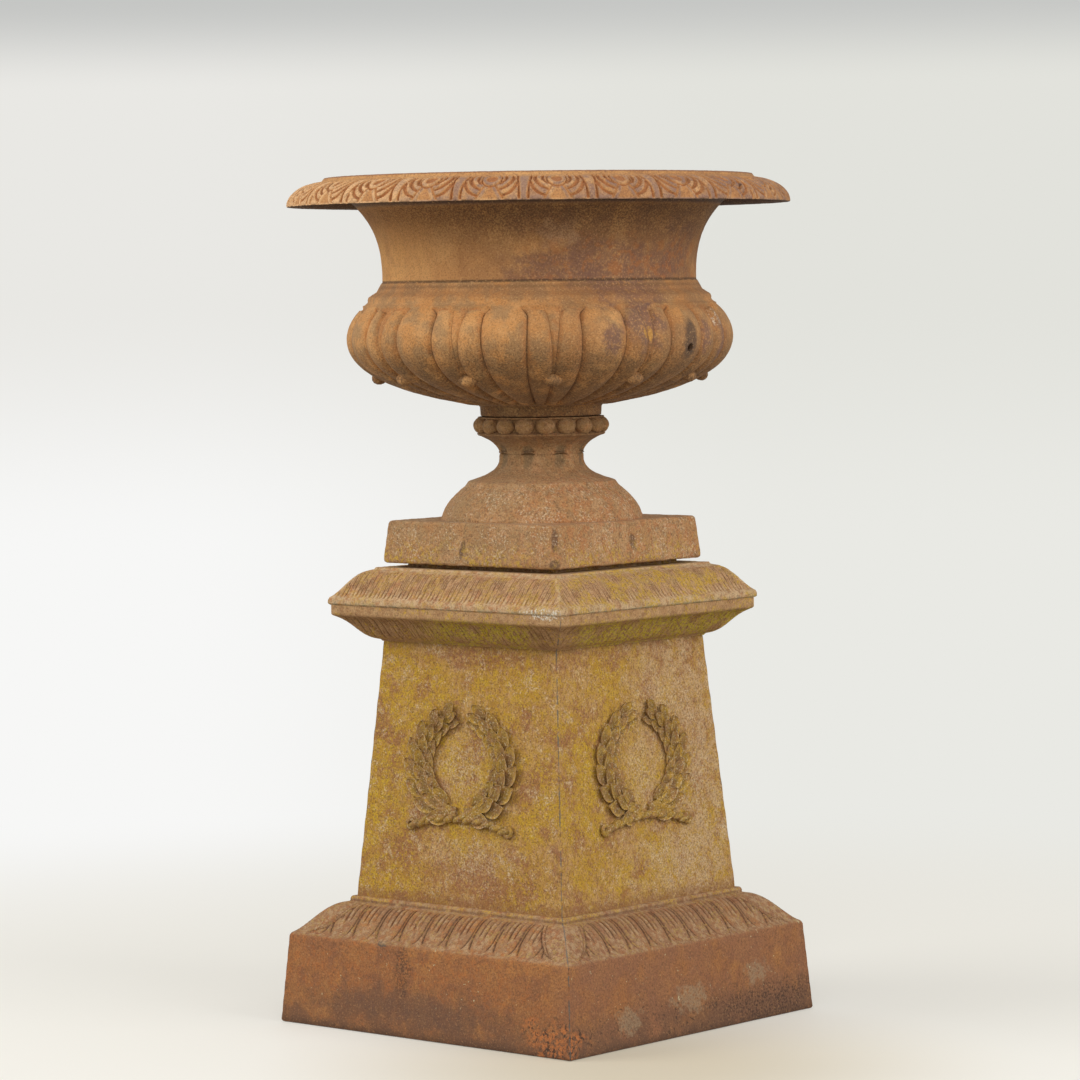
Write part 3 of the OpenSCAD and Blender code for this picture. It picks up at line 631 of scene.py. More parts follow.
def stroke_relief(x, v, pitch, fork):
    """Close strokes straight across a moulding, long and short by turns; v runs 0 to 1 across it."""
    wander = 0.12 * np.sin(x * 0.21) + 0.1 * np.sin(x * 0.083 + 5 * v)
    u = (x / pitch + wander) % 1
    long = np.exp(-((u - 0.5) / 0.14) ** 2) * smooth(0.02, 0.12, v) * smooth(0.99, 0.92, v)
    ends = smooth(0.15, 0.35, v) * smooth(0.99, 0.85, v)
    short = fork * np.exp(-((0.5 - np.abs(u - 0.5)) / 0.12) ** 2) * ends
    return np.maximum(long, short)


def cap_relief(x, along):
    """Feathered strokes over the cap's cyma."""
    v = along / CAP_ROWS[-1, 2]
    half = np.interp(along, CAP_ROWS[:, 2], CAP_ROWS[:, 0])
    share = stroke_relief(x, v, size("cap_pitch"), 0.75) * smooth(2, 7, half - np.abs(x))
    return 1.6 * share, share


def cornice_relief(x, along):
    """Grooves over the cornice's cyma."""
    v = along / CORNICE_ROWS[-1, 2]
    half = np.interp(along, CORNICE_ROWS[:, 2], CORNICE_ROWS[:, 0])
    share = stroke_relief(x, v, size("cornice_pitch"), 0.7) * smooth(2, 7, half - np.abs(x))
    return 2.0 * share, share


def waist_flutes(angle, depth):
    """Broad flutes round the waist, as a share of their depth."""
    half = 180 / FLUTES
    u = np.abs((angle + half) % (2 * half) - half) / half
    return depth * np.sqrt(np.clip(1 - ((u - 1) / 0.42) ** 2, 0, 1))


def foot_relief(angle, along):
    """Shallow flutes round the waist and broad worn leaves over the dome."""
    flute = waist_flutes(angle, smooth(FOOT_RUN - 45, FOOT_RUN - 12, along))
    half = 180 / FOOT_LEAVES
    u = np.abs((angle + half) % (2 * half) - half) / half
    leaf = smooth(4, 12, along) * smooth(60, 52, along)
    line = np.exp(-((u - 0.35 - 0.35 * along / 60) / 0.07) ** 2) + 0.9 * np.exp(-(u / 0.07) ** 2)
    share = np.maximum(flute, 0.5 * leaf * line)
    return 2.8 * share, share


def collar_relief(angle, along):
    """The flutes of the waist carried on into the collar."""
    share = waist_flutes(angle, smooth(22, 6, along))
    return 2.8 * share, share


# Materials

def add(tree, kind, sockets=(), **settings):
    """Adds a node, sets its properties and its sockets, and links the sockets given as outputs."""
    made = tree.nodes.new(kind)
    for key, value in settings.items():
        setattr(made, key, value)
    for key, value in dict(sockets).items():
        if isinstance(value, bpy.types.NodeSocket):
            tree.links.new(value, made.inputs[key])
        else:
            made.inputs[key].default_value = value
    return made


def rgba(colour):
    """A colour for a socket, from a property or an sRGB hex value."""
    return (*(linear(colour) if isinstance(colour, str) else colour), 1)


def vector(tree, operation, a, b=(0, 0, 0)):
    """Arithmetic on vectors, which gives a number for a length, a distance or a dot product."""
    node = add(tree, "ShaderNodeVectorMath", {0: a, 1: b}, operation=operation)
    return node.outputs["Value" if operation in ("LENGTH", "DISTANCE", "DOT_PRODUCT") else "Vector"]


def ramp(tree, value, low, high):
    """A soft step of a number: 0 at low and 1 at high."""
    return add(tree, "ShaderNodeMapRange", {"Value": value, "From Min": low, "From Max": high},
               interpolation_type="SMOOTHSTEP").outputs[0]


def blend(tree, share, under, over):
    """One colour laid over another by a share."""
    return add(tree, "ShaderNodeMix", {0: share, 6: under, 7: over}, data_type="RGBA").outputs[2]


class Iron:
    """A finish of cast iron, built up as coats of colour over each other."""

    def __init__(self, name, ground):
        self.material = bpy.data.materials.new(name)
        self.material.use_nodes = True
        self.tree = self.material.node_tree
        self.shader = self.tree.nodes["Principled BSDF"]
        self.at = add(self.tree, "ShaderNodeTexCoord").outputs["Object"]
        self.colour = rgba(ground)
        self.height = None
        self.seed = 0.0

    def grain(self, width, low, high, detail=3.0, stretch=(1, 1, 1)):
        """A mask of soft-edged patches about as wide as width, in millimetres."""
        self.seed += 3.7
        moved = add(self.tree, "ShaderNodeMapping",
                    {"Vector": self.at, "Location": (self.seed, self.seed * 0.6, 0), "Scale": stretch})
        noise = add(self.tree, "ShaderNodeTexNoise",
                    {"Vector": moved.outputs[0], "Scale": 1000 / width, "Detail": detail, "Roughness": 0.6})
        return self.step(noise.outputs[0], low, high)

    def speck(self, width, low, high):
        """A mask of plain fine specks."""
        return self.grain(width, low, high, detail=2)

    def step(self, value, low, high):
        """A soft step of a number from 0 to 1."""
        return ramp(self.tree, value, low, high)

    def math(self, operation, a, b=0.0):
        """Arithmetic on masks."""
        return add(self.tree, "ShaderNodeMath", {0: a, 1: b}, operation=operation).outputs[0]

    def axis(self, index):
        """One coordinate in metres: 0 for X, 1 for Y, 2 for Z."""
        return add(self.tree, "ShaderNodeSeparateXYZ", {0: self.at}).outputs[index]

    def level(self, low, high):
        """A mask by height in millimetres: 0 at low and 1 at high, where low may be the upper one."""
        return self.step(self.axis(2), low * MM, high * MM)

    def across(self, low, high):
        """A mask by the distance in millimetres to the right of the near corner."""
        x, y = (self.math("MULTIPLY", self.axis(i), share) for i, share in enumerate(CAMERA_RIGHT[:2]))
        return self.step(self.math("ADD", x, y), low * MM, high * MM)

    def between(self, bottom, top, soft=6.0):
        """A mask of one belt of heights in millimetres."""
        return self.both(self.level(bottom - soft, bottom + soft), self.level(top + soft, top - soft))

    def mottle(self, dark, pale, share):
        """The fine mottle of a rough skin: pits and pale grains one to three millimetres across."""
        self.coat(dark, share, self.speck(2.3, 0.50, 0.62))
        self.coat(pale, share * 0.8, self.speck(2.6, 0.55, 0.67))

    def facing(self, low, high):
        """A mask by how far the surface faces up: 1 is straight up and -1 straight down."""
        normal = add(self.tree, "ShaderNodeNewGeometry").outputs["Normal"]
        return self.step(add(self.tree, "ShaderNodeSeparateXYZ", {0: normal}).outputs["Z"], low, high)

    def spot(self, centre, radius, ragged=0.35, soft=0.15):
        """A mask of one ragged patch round a point in millimetres, which may be longer one way."""
        self.seed += 2.3
        moved = add(self.tree, "ShaderNodeMapping", {
            "Vector": self.at, "Scale": tuple(1000 / r for r in radius),
            "Location": tuple(-c / r for c, r in zip(centre, radius))})
        far = vector(self.tree, "LENGTH", moved.outputs[0])
        wander = add(self.tree, "ShaderNodeTexNoise",
                     {"Vector": self.at, "Scale": 1000 / (min(radius) * 0.8), "Detail": 4.0}).outputs[0]
        wander = self.math("MULTIPLY", self.math("SUBTRACT", wander, 0.5), -4 * ragged)
        return self.step(self.math("ADD", far, wander), 0.95 + soft, 0.95 - soft)

    def widened(self, mask, spots, share=1.0):
        """A mask with ragged patches added to it, each given as its centre and its radii."""
        for centre, radius in spots:
            patch = self.math("MULTIPLY", self.spot(centre, radius, 0.6, 0.6), share)
            mask = self.math("MAXIMUM", mask, patch)
        return mask

    def hollow(self, low, high):
        """A mask of the carved hollows."""
        kept = add(self.tree, "ShaderNodeAttribute", attribute_name="hollow").outputs["Fac"]
        return self.step(kept, low, high)

    def both(self, *masks):
        """Where all the masks lie."""
        result = masks[0]
        for mask in masks[1:]:
            result = self.math("MULTIPLY", result, mask)
        return result

    def coat(self, colour, share, *masks):
        """Lays a colour over the coats so far where all the masks lie."""
        mask = self.math("MULTIPLY", self.both(*masks), share)
        self.colour = blend(self.tree, mask, self.colour, rgba(colour))

    def rise(self, mask, height):
        """Raises or sinks the surface under a mask, in millimetres."""
        part = self.math("MULTIPLY", mask, height)
        self.height = part if self.height is None else self.math("ADD", self.height, part)

    def rough_skin(self, grain_height, pit_height):
        """The rough skin of an old sand casting: fine grain, and pits in clusters."""
        self.seed += 5.1
        noise = add(self.tree, "ShaderNodeTexNoise",
                    {"Vector": self.at, "Scale": 1000 / 3.2, "Detail": 4.0, "Roughness": 0.7})
        self.rise(noise.outputs[0], grain_height * 2)
        self.rise(self.grain(9, 0.55, 0.75), -pit_height)

    def finished(self, roughness=0.88):
        """Links the coats and the surface to the shader."""
        self.shader.inputs["Roughness"].default_value = roughness
        self.shader.inputs["Metallic"].default_value = 0.0
        self.tree.links.new(self.colour, self.shader.inputs["Base Color"])
        if self.height is not None:
            bump = add(self.tree, "ShaderNodeBump", {"Height": self.height, "Distance": MM, "Strength": 1.0})
            self.tree.links.new(bump.outputs[0], self.shader.inputs["Normal"])
        return self.material


def rim_iron():
    """Cast iron under orange rust: mill scale rubbed bare on the rim's crests, painted highlights on the
    crests and painted shade under the lip, dark stains and painted shade on the neck with a painted light low
    on its left.
    """
    m = Iron("rusted_cast_iron_rim", "#c08a52")
    m.coat("#cd9a60", 0.7, m.grain(70, 0.42, 0.62))
    m.coat("#a06a40", 0.3, m.grain(16, 0.5, 0.66, stretch=(1, 1, 0.3)))
    lip = m.level(1106, 1112)
    crest = m.both(lip, m.level(1144, 1140), m.hollow(0.45, 0.05))
    left = m.across(-80, -220)
    m.coat("#a05a2a", 0.7, lip, m.hollow(0.2, 0.7))
    # Painted highlight: pale tan in patches on the lip's crests, paler still towards the left, where the
    # light is stronger
    m.coat("#d6a87a", 0.55, crest, m.grain(22, 0.34, 0.54))
    m.coat("#e3b684", 0.65, crest, left)
    # Painted shade: darker brown in patches over the lip towards the right
    m.coat("#94643e", 0.5, lip, m.across(-60, 160), m.grain(30, 0.3, 0.6))
    m.coat("#86685c", 0.8, crest, m.across(-240, -110), m.across(420, 280), m.grain(24, 0.36, 0.54))
    m.coat("#75503c", 0.45, lip, m.grain(3.4, 0.54, 0.64))
    m.coat("#6f4b3f", 0.7, m.level(1147, 1149.4))
    # Painted shade: near-black on the lip's uncarved downward faces
    m.coat("#3b281c", 0.9, lip, m.facing(-0.1, -0.6), m.hollow(0.12, 0.02))
    # The neck: darker to the right in rust and painted shade, painted shade and dark specks thickening up
    # under the lip, over purple scale low on the right, and a painted light low on the left
    neck = m.level(1112, 1104)
    right = m.across(-200, 40)
    # Darker brown in patches towards the right: partly rust, partly painted shade
    m.coat("#8a6140", 0.75, neck, right, m.grain(40, 0.3, 0.6))
    # Painted light: bright orange low on the neck's left side
    m.coat("#dfa560", 0.8, neck, m.across(-100, -240), m.level(1100, 1040), m.grain(30, 0.3, 0.6))
    for centre, radius in (
            ((152, -152, 1020), (64, 64, 30)), ((190, -101, 1028), (60, 60, 40)),
            ((212, -37, 1022), (56, 56, 30)), ((213, 30, 1046), (26, 40, 46))):
        m.coat("#785444", 0.7, neck, m.spot(centre, radius, 0.6, 0.4), m.grain(5, 0.3, 0.54))
    m.coat("#b98f68", 0.7, m.spot((172, -155, 1068), (26, 26, 22), 0.5, 0.4))
    m.coat("#b06a34", 0.5, neck, m.across(-60, 60), m.grain(14, 0.5, 0.62), m.level(1085, 1050))
    under = m.both(neck, m.level(1036, 1096), m.across(-300, -20))
    # Painted shade under the lip, in patches, growing upwards; the specks after it are rust
    m.coat("#573a25", 0.45, under, m.grain(20, 0.25, 0.5))
    m.coat("#553923", 0.75, under, m.speck(2.3, 0.47, 0.57))
    m.coat("#4b3420", 0.6, neck, m.level(1072, 1106), m.speck(2.4, 0.47, 0.58))
    m.coat("#44311f", 0.75, m.level(1010.8, 1008.6), m.grain(12, 0.3, 0.46))
    m.mottle("#6b4226", "#d7a870", 0.35)
    m.rough_skin(0.4, 0.5)
    return m.finished()


def bowl_iron():
    """Cast iron under orange rust: grey-brown bloom on the lobes, black specks below, painted shade in the
    grooves, towards the right and under the belly.
    """
    m = Iron("rusted_cast_iron_bowl", "#c48a4e")
    m.coat("#cf9a60", 0.8, m.grain(60, 0.42, 0.62))
    m.coat("#9b7a53", 0.7, m.grain(26, 0.42, 0.62))
    m.coat("#b57036", 0.5, m.hollow(0.12, 0.4), m.hollow(0.9, 0.6), m.grain(20, 0.4, 0.56))
    # Painted shade: darker brown in broad patches towards the right
    m.coat("#8d5f3a", 0.5, m.across(-80, 100), m.grain(50, 0.3, 0.6))
    # Darker towards the bottom of the belly: patchy rust and painted shade under it
    low = m.level(945, 868)
    m.coat("#664729", 0.75, low, m.grain(30, 0.28, 0.56))
    m.coat("#3b2b1d", 0.6, m.level(965, 885), m.speck(2.5, 0.49, 0.6))
    for centre, radius in (
            ((222, -74, 1000), (64, 64, 26)), ((250, -78, 962), (26, 34, 44)), ((262, 40, 935), (12, 10, 42)),
            ((236, -124, 930), (16, 16, 24)), ((245, 92, 930), (14, 16, 34))):
        m.coat("#6f5048", 0.75, m.spot(centre, radius, 0.5, 0.4), m.grain(5, 0.3, 0.5))
    m.coat("#4a3a30", 0.85, m.spot((262, 0, 927), (20, 14, 28), 0.2, 0.3))
    m.coat("#c8923c", 0.7, m.spot((254, -71, 938), (8, 11, 12), 0.4))
    m.coat("#dccfb8", 0.7, m.spot((240, 84, 957), (14, 16, 14)), m.grain(4, 0.5, 0.58))
    # Painted shade: dark brown in the deepest grooves
    m.coat("#5a3a25", 0.6, m.hollow(0.7, 1.0))
    m.coat("#8c5d38", 0.35, m.between(984, 1004))
    m.coat("#6b4a30", 0.4, m.between(999, 1003, 2))
    m.coat("#3d2b1e", 0.8, m.level(1005, 1007.5), m.grain(12, 0.3, 0.46))
    m.mottle("#73502f", "#dcae76", 0.4)
    m.rough_skin(0.4, 0.45)
    return m.finished()


def socle_iron():
    """Rough cast iron of the foot: tan rust with orange blotches and pale grains, darker round the waist."""
    c = finish()
    m = Iron("rusted_cast_iron_foot", "#b18556")
    m.coat("#bd9468", 0.85, m.grain(44, 0.42, 0.6))
    m.coat("#8e6d4a", 0.6, m.grain(9, 0.48, 0.6))
    m.coat("#9c8058", 0.6, m.across(20, -80), m.grain(30, 0.36, 0.58))
    orange = m.math("ADD", m.math("MULTIPLY", m.across(-80, 60), 0.6), 0.2)
    m.coat("#b8703f", 0.55, orange, m.grain(11, 0.48, 0.58))
    m.coat("#b0743f", 0.4, m.grain(5, 0.52, 0.62))
    waist = m.between(742, 826)
    m.coat("#8c6b45", 0.55, waist, m.grain(20, 0.3, 0.56))
    m.coat("#77684a", 0.5, waist, m.hollow(0.4, 0.9))
    m.coat("#634630", 0.4, m.between(788, 802), m.grain(10, 0.3, 0.6))
    m.coat("#936d3c", 0.6, m.between(802, 820), m.grain(6, 0.46, 0.58))
    # Painted shade: dark brown in the deepest hollows of the flutes and leaves
    m.coat("#5a432e", 0.25, m.hollow(0.6, 1.0))
    # Crescent scars near the middle of the block's faces and a dark chip down its near corner
    for centre, radius in (
            ((-9, -155, 653), (4, 14, 9)), ((-13, -155, 643), (4, 14, 8)), ((155, 8, 656), (14, 6, 11)),
            ((151, -151, 668), (6, 6, 20)), ((153, -153, 633), (9, 9, 7))):
        m.coat("#523c30", 0.75, m.spot(centre, radius, 0.2, 0.3))
    m.coat(c.yellow, 0.75, m.level(672, 630), m.grain(34, 0.4, 0.56), m.grain(6, 0.47, 0.58))
    m.coat(c.umber, 0.5, m.speck(3.0, 0.55, 0.67))
    m.coat("#dcc9a8", 0.6, m.level(742, 728), m.grain(28, 0.38, 0.6), m.speck(2.8, 0.54, 0.64))
    m.mottle("#6d4c31", "#d4ab7c", 0.4)
    m.rough_skin(0.8, 0.9)
    return m.finished(0.92)


def cap_iron():
    """Cast iron of the cap: brown rust, painted shade in the grooves between pale worn strokes, yellow lichen
    more to the right.
    """
    c = finish()
    m = Iron("lichened_cast_iron_cap", "#bb9064")
    m.coat("#9a6f4c", 0.65, m.grain(14, 0.46, 0.62))
    m.coat("#b8764a", 0.55, m.across(60, -60), m.grain(22, 0.48, 0.62))
    m.coat("#cdb088", 0.75, m.hollow(0.3, 0.02), m.grain(8, 0.40, 0.56))
    # Painted shade: dark brown in the grooves of the strokes
    m.coat("#67492f", 0.7, m.hollow(0.3, 0.8))
    yellow = m.math("ADD", m.math("MULTIPLY", m.across(-60, 120), 0.55), 0.45)
    m.coat(c.yellow, 0.8, yellow, m.grain(24, 0.46, 0.58), m.grain(4.0, 0.40, 0.52))
    m.coat("#ac9054", 0.3, yellow, m.grain(12, 0.50, 0.62))
    m.coat("#8f8a72", 0.6, m.between(569, 574, 2), m.grain(9, 0.46, 0.56))
    m.coat("#e2dccb", 0.8, m.spot((176, -208, 574), (36, 8, 6), 0.5), m.grain(2.6, 0.5, 0.56))
    m.coat(c.umber, 0.5, m.speck(2.6, 0.56, 0.68))
    m.mottle("#6d4e33", "#dcc29a", 0.35)
    m.rough_skin(0.7, 0.8)
    return m.finished(0.93)


def cornice_iron():
    """Cast iron under the cap: sheltered brown rust with yellow lichen along the grooves."""
    c = finish()
    m = Iron("lichened_cast_iron_cornice", "#b0865a")
    m.coat("#926a46", 0.65, m.grain(16, 0.46, 0.62))
    m.coat("#c09a6c", 0.7, m.level(556, 560), m.grain(12, 0.44, 0.6))
    # Painted shade: dark brown in the grooves
    m.coat("#6a4c2e", 0.7, m.hollow(0.3, 0.8))
    bare = m.both(m.across(-30, 0), m.across(60, 30))
    band = m.both(m.level(561, 553), m.across(-190, -120), m.math("SUBTRACT", 1.0, bare))
    m.coat("#c3ac36", 0.9, band, m.grain(30, 0.34, 0.5), m.grain(3.6, 0.42, 0.54, stretch=(1, 1, 0.5)))
    m.coat(c.yellow, 0.7, m.grain(30, 0.46, 0.6), m.grain(4, 0.5, 0.62))
    m.coat("#e2dccb", 0.8, m.spot((180, -206, 568), (26, 8, 4), 0.5), m.grain(2.6, 0.5, 0.56))
    m.coat(c.umber, 0.5, m.speck(2.6, 0.56, 0.68))
    joint(m)
    m.mottle("#6d4e33", "#d4b684", 0.35)
    m.rough_skin(0.7, 0.8)
    return m.finished(0.93)


def joint(m):
    """Grey putty left in patches along the four mitres, a few millimetres to one side."""
    c = finish()
    x, y = (m.math("ABSOLUTE", m.axis(i)) for i in (0, 1))
    gap = m.math("ABSOLUTE", m.math("SUBTRACT", x, y))
    line = m.step(m.math("ADD", gap, m.math("MULTIPLY", m.grain(14, 0.3, 0.7), 1.6 * MM)), 2.6 * MM, 1.1 * MM)
    m.coat(c.putty, 0.85, line, m.grain(20, 0.42, 0.5))


def shaft_iron():
    """Cast iron of the shaft under crust lichen: golden patches, pink-brown rust and cream clusters."""
    m = Iron("lichened_cast_iron_shaft", "#c49a60")
    down = (1, 1, 0.75)
    m.coat("#9f6d46", 0.8, m.grain(7, 0.45, 0.57, stretch=down))
    m.coat("#b98e2e", 0.6, m.grain(5, 0.44, 0.58, stretch=down))
    # Golden lichen thickens in broad patches, at the far edges and beside the wreaths
    wide = m.widened(m.grain(90, 0.40, 0.62, detail=4), (
        ((-150, -175, 330), (60, 60, 190)), ((176, -120, 350), (30, 44, 90)), ((60, -180, 400), (50, 40, 60)),
        ((-120, -186, 195), (80, 30, 46)), ((185, -20, 210), (40, 60, 34)), ((50, -172, 330), (16, 30, 60))))
    m.coat("#b88c26", 0.9, wide, m.grain(6, 0.36, 0.5, stretch=down))
    m.coat("#c9a426", 0.85, wide, m.grain(9, 0.46, 0.58), m.speck(2.8, 0.42, 0.54))
    # Pink-brown rust shows through, most under the left wreath and down the lower edge
    rust = m.widened(m.grain(46, 0.50, 0.64), (
        ((30, -184, 205), (100, 30, 34)), ((-100, -180, 240), (40, 30, 30)),
        ((20, -160, 505), (90, 30, 16)), ((176, 90, 410), (20, 30, 60))))
    m.coat("#955f40", 0.75, rust, m.grain(5, 0.36, 0.52))
    m.coat("#c7a67c", 0.75, m.across(60, 200), m.grain(20, 0.40, 0.56), m.grain(4, 0.36, 0.54))
    # Cream and pale pink crusts in small clusters
    pale = m.widened(m.grain(22, 0.54, 0.66), (
        ((20, -180, 235), (60, 30, 24)), ((0, -172, 360), (40, 30, 46)), ((168, 60, 450), (30, 60, 50)),
        ((185, 90, 215), (40, 70, 44)), ((176, 0, 345), (30, 34, 44)), ((175, 120, 330), (30, 20, 80))), 0.7)
    m.coat("#c7a67e", 0.65, pale, m.grain(4.0, 0.46, 0.58))
    m.coat("#dcc8a4", 0.7, pale, m.speck(2.8, 0.53, 0.62))
    m.coat("#dcc8a4", 0.5, m.grain(12, 0.5, 0.6), m.speck(2.4, 0.56, 0.63))
    m.coat("#62452b", 0.55, m.speck(2.6, 0.53, 0.63))
    m.coat("#7a5a30", 0.5, m.level(504, 520), m.grain(10, 0.42, 0.58))
    m.coat("#8a5c38", 0.7, m.level(192, 172), m.grain(8, 0.3, 0.5))
    joint(m)
    m.mottle("#6a4a2c", "#cfae74", 0.35)
    m.rough_skin(0.7, 0.7)
    return m.finished(0.94)


def base_iron():
    """Cast iron of the base: bare orange-brown rust, darker towards the bottom, dusty leaves over it with
    painted shade in their grooves and a painted highlight on their crests.
    """
    c = finish()
    m = Iron("rusted_cast_iron_base", "#a1693c")
    m.coat("#b27840", 0.8, m.grain(50, 0.42, 0.6))
    m.coat("#86573b", 0.6, m.grain(22, 0.46, 0.64))
    m.coat("#8f6146", 0.65, m.across(-10, 40), m.grain(60, 0.3, 0.54))
    m.coat("#b4682f", 0.4, m.across(60, -60), m.grain(9, 0.5, 0.62))
    m.coat("#6f4a31", 0.45, m.speck(3.0, 0.48, 0.6))
    # Darker towards the bottom, the bright corner and its pits
    m.coat("#6b4c38", 0.75, m.level(64, 16), m.grain(50, 0.24, 0.54))
    m.coat("#64493a", 0.65, m.spot((-20, -257, 42), (140, 40, 24), 0.5, 0.6))
    m.coat("#4f3829", 0.6, m.level(16, 3), m.grain(20, 0.3, 0.5))
    m.coat("#c8763a", 0.75, m.spot((228, -256, 22), (50, 26, 24), 0.7, 0.5), m.grain(6, 0.40, 0.58))
    m.coat("#33241b", 0.85, m.spot((232, -250, 26), (54, 40, 24), 0.5, 0.3), m.grain(7, 0.55, 0.6))
    m.coat("#3d2b20", 0.8, m.spot((257, 165, 24), (40, 130, 26), 0.5, 0.5), m.grain(3.6, 0.48, 0.57))
    m.coat("#3a2a20", 0.8, m.spot((257, -60, 30), (40, 190, 30), 0.5, 0.5), m.grain(4, 0.58, 0.64))
    m.coat("#3c2c20", 0.65, m.spot((-38, -255, 90), (14, 30, 40), 0.4, 0.4),
           m.speck(2.8, 0.46, 0.56))
    for centre, radius in (
            ((258, -135, 36), (14, 24, 18)), ((257, -5, 48), (14, 36, 17)), ((256, 142, 66), (14, 26, 15))):
        m.coat("#a08a6c", 0.6, m.spot(centre, radius, 0.6, 0.25), m.grain(4, 0.3, 0.54))
    m.coat("#3f4a44", 0.8, m.spot((-80, -251, 122), (9, 12, 5), 0.3))
    m.coat("#d8d3a8", 0.7, m.level(20, 60), m.grain(7, 0.69, 0.73))
    leaf = m.level(119, 124)
    m.coat("#967250", 0.8, leaf, m.grain(12, 0.34, 0.6))
    # Painted highlight: pale tan in patches on the leaves' crests
    m.coat("#b89a74", 0.6, leaf, m.hollow(0.3, 0.05), m.grain(7, 0.44, 0.6))
    # Painted shade: dark brown in the leaves' grooves
    m.coat("#472f22", 0.7, leaf, m.hollow(0.3, 0.7))
    m.coat("#a8874a", 0.7, leaf, m.grain(5, 0.5, 0.62), m.grain(34, 0.4, 0.58))
    m.coat(c.yellow, 0.6, m.level(158, 168), m.grain(30, 0.40, 0.58), m.grain(3, 0.44, 0.58))
    m.coat("#6a4a32", 0.6, m.between(164, 167, 1), m.grain(16, 0.3, 0.5))
    m.coat(c.umber, 0.55, m.speck(2.6, 0.58, 0.7))
    joint(m)
    m.mottle("#6b4730", "#c89460", 0.35)
    m.rough_skin(0.5, 0.6)
    return m.finished()


def wreath_iron():
    """Cast iron wreath: the shaft's lichen over it, olive and painted shade between the leaves, and a painted
    highlight on their rims.
    """
    c = finish()
    m = Iron("lichened_cast_iron_wreath", "#ab8048")
    m.coat("#94683f", 0.7, m.grain(9, 0.44, 0.6))
    m.coat("#bd9430", 0.8, m.grain(16, 0.42, 0.56))
    m.coat("#8d7a32", 0.45, m.hollow(0.3, 0.8), m.grain(7, 0.46, 0.6))
    # Painted shade: dark brown deep between the leaves
    m.coat("#664824", 0.5, m.hollow(0.62, 1.0))
    # Painted highlight: pale on the leaves' rims and tips
    m.coat("#d9bf95", 0.85, m.hollow(0.36, 0.08), m.grain(4, 0.38, 0.54))
    m.coat("#e0cfae", 0.5, m.speck(2.6, 0.56, 0.66))
    m.coat(c.umber, 0.55, m.speck(2.6, 0.55, 0.67))
    m.mottle("#6a4a2c", "#cfae74", 0.35)
    m.rough_skin(0.5, 0.5)
    return m.finished(0.93)


def fixing_steel():
    """Mild steel bolts and nuts under even brown rust."""
    c = finish()
    m = Iron("rusty_mild_steel", "#6d4c38")
    m.coat("#8a5a38", 0.7, m.grain(6, 0.45, 0.62))
    m.coat(c.umber, 0.6, m.speck(2.5, 0.56, 0.7))
    m.rough_skin(0.2, 0.3)
    return m.finished(0.8)


# Sections of the castings

LEAF_ROWS = rows(ogee((248, 123), (196.5, 163), (0.28, 0.17), (0.42, 0.07)), 1.7, carved=True)
LEAF_RUN = LEAF_ROWS[-1, 2]
CORNICE_ROWS = rows(ogee((159, 522.5), (204.5, 556), (0.46, 0.1), (0.49, 0.29)), 1.8, carved=True)
CAP_ROWS = rows(ogee((207, 581), (168, 617), (0.28, 0.17), (0.42, 0.07)), 1.6, carved=True)

BASE_SECTION = joined(
    rows([(257, 0), (259.1, 0.9), (260, 3)], 2), rows([(260, 3), (251, 118)], 4),
    rows([(251, 118), (250, 121), (248, 123)], 1.7), LEAF_ROWS,
    rows([(196.5, 163), (191.5, 164), (191.5, 169), (189.5, 171)], 2),
    rows([(189.5, 171), (FOOT_FLANGE, 171), (FOOT_FLANGE, 162), (187.5, 162), (189.5, 153.9), (241, 114.7),
          (251, 0), (257, 0)], 40))
SHAFT_SECTION = joined(
    rows([(185, 170.3), (155.5, 520.4)], 3.2, carved=True),
    rows([(155.5, 520.4), (HEAD_FLANGE, 520.4), (HEAD_FLANGE, 511), (147.2, 511), (175.2, 180),
          (FOOT_FLANGE, 180), (FOOT_FLANGE, 170.3), (185, 170.3)], 40))
CORNICE_SECTION = joined(
    rows([(157, 520), (158, 522), (159, 522.5)], 2), CORNICE_ROWS,
    rows([(204.5, 556), (206, 558), (206, 570.4)], 2),
    rows([(206, 570.4), (CAP_FLANGE, 570.4), (CAP_FLANGE, 561), (191.6, 561), (173.5, 549.3), (166.5, 535),
          (152.5, 529), (HEAD_FLANGE, 529), (HEAD_FLANGE, 520), (157, 520)], 40))
CAP_SECTION = joined(
    rows([(206, 570), (208.5, 572), (208.5, 577), (207, 581)], 1.8), CAP_ROWS,
    rows([(168, 617), (163, 618.5), (162, 621)], 1.6), rows([(162, 621), (128, 621)], 6),
    rows([(128, 621), (128, 612), (150, 611), (190, 576), (197, 570), (206, 570)], 30))
BLOCK_SECTION = joined(
    rows([(152.5, 626), (154.8, 628), (155.5, 632), (150.6, 679)], 3),
    rows(bezier((150.6, 679), (150.4, 683), (148.6, 685), (144.5, 685), 8), 1.5),
    rows([(144.5, 685), (90, 685)], 6),
    rows([(90, 685), (90, 676), (137, 676), (141, 636), (104, 636), (104, 626), (152.5, 626)], 30))

DOME_ROWS = rows(np.concatenate([
    bezier((136.5, 691), (133, 705), (120, 718), (105, 730)), [(101, 736), (98, 737)],
    bezier((92, 739), (70, 746), (59, 753), (58, 767)),
    [(58, 772), (56.8, 774), (56.8, 779)]]), 1.8, carved=True)
FOOT_RUN = DOME_ROWS[-1, 2]
DOME_SECTION = joined(
    rows([(138, 680), (138, 688), (136.5, 691)], 2), DOME_ROWS,
    rows([(56.8, 779), (46, 779), (46, 740), (64, 727), (110, 712), (124, 695), (124, 680), (138, 680)], 20))

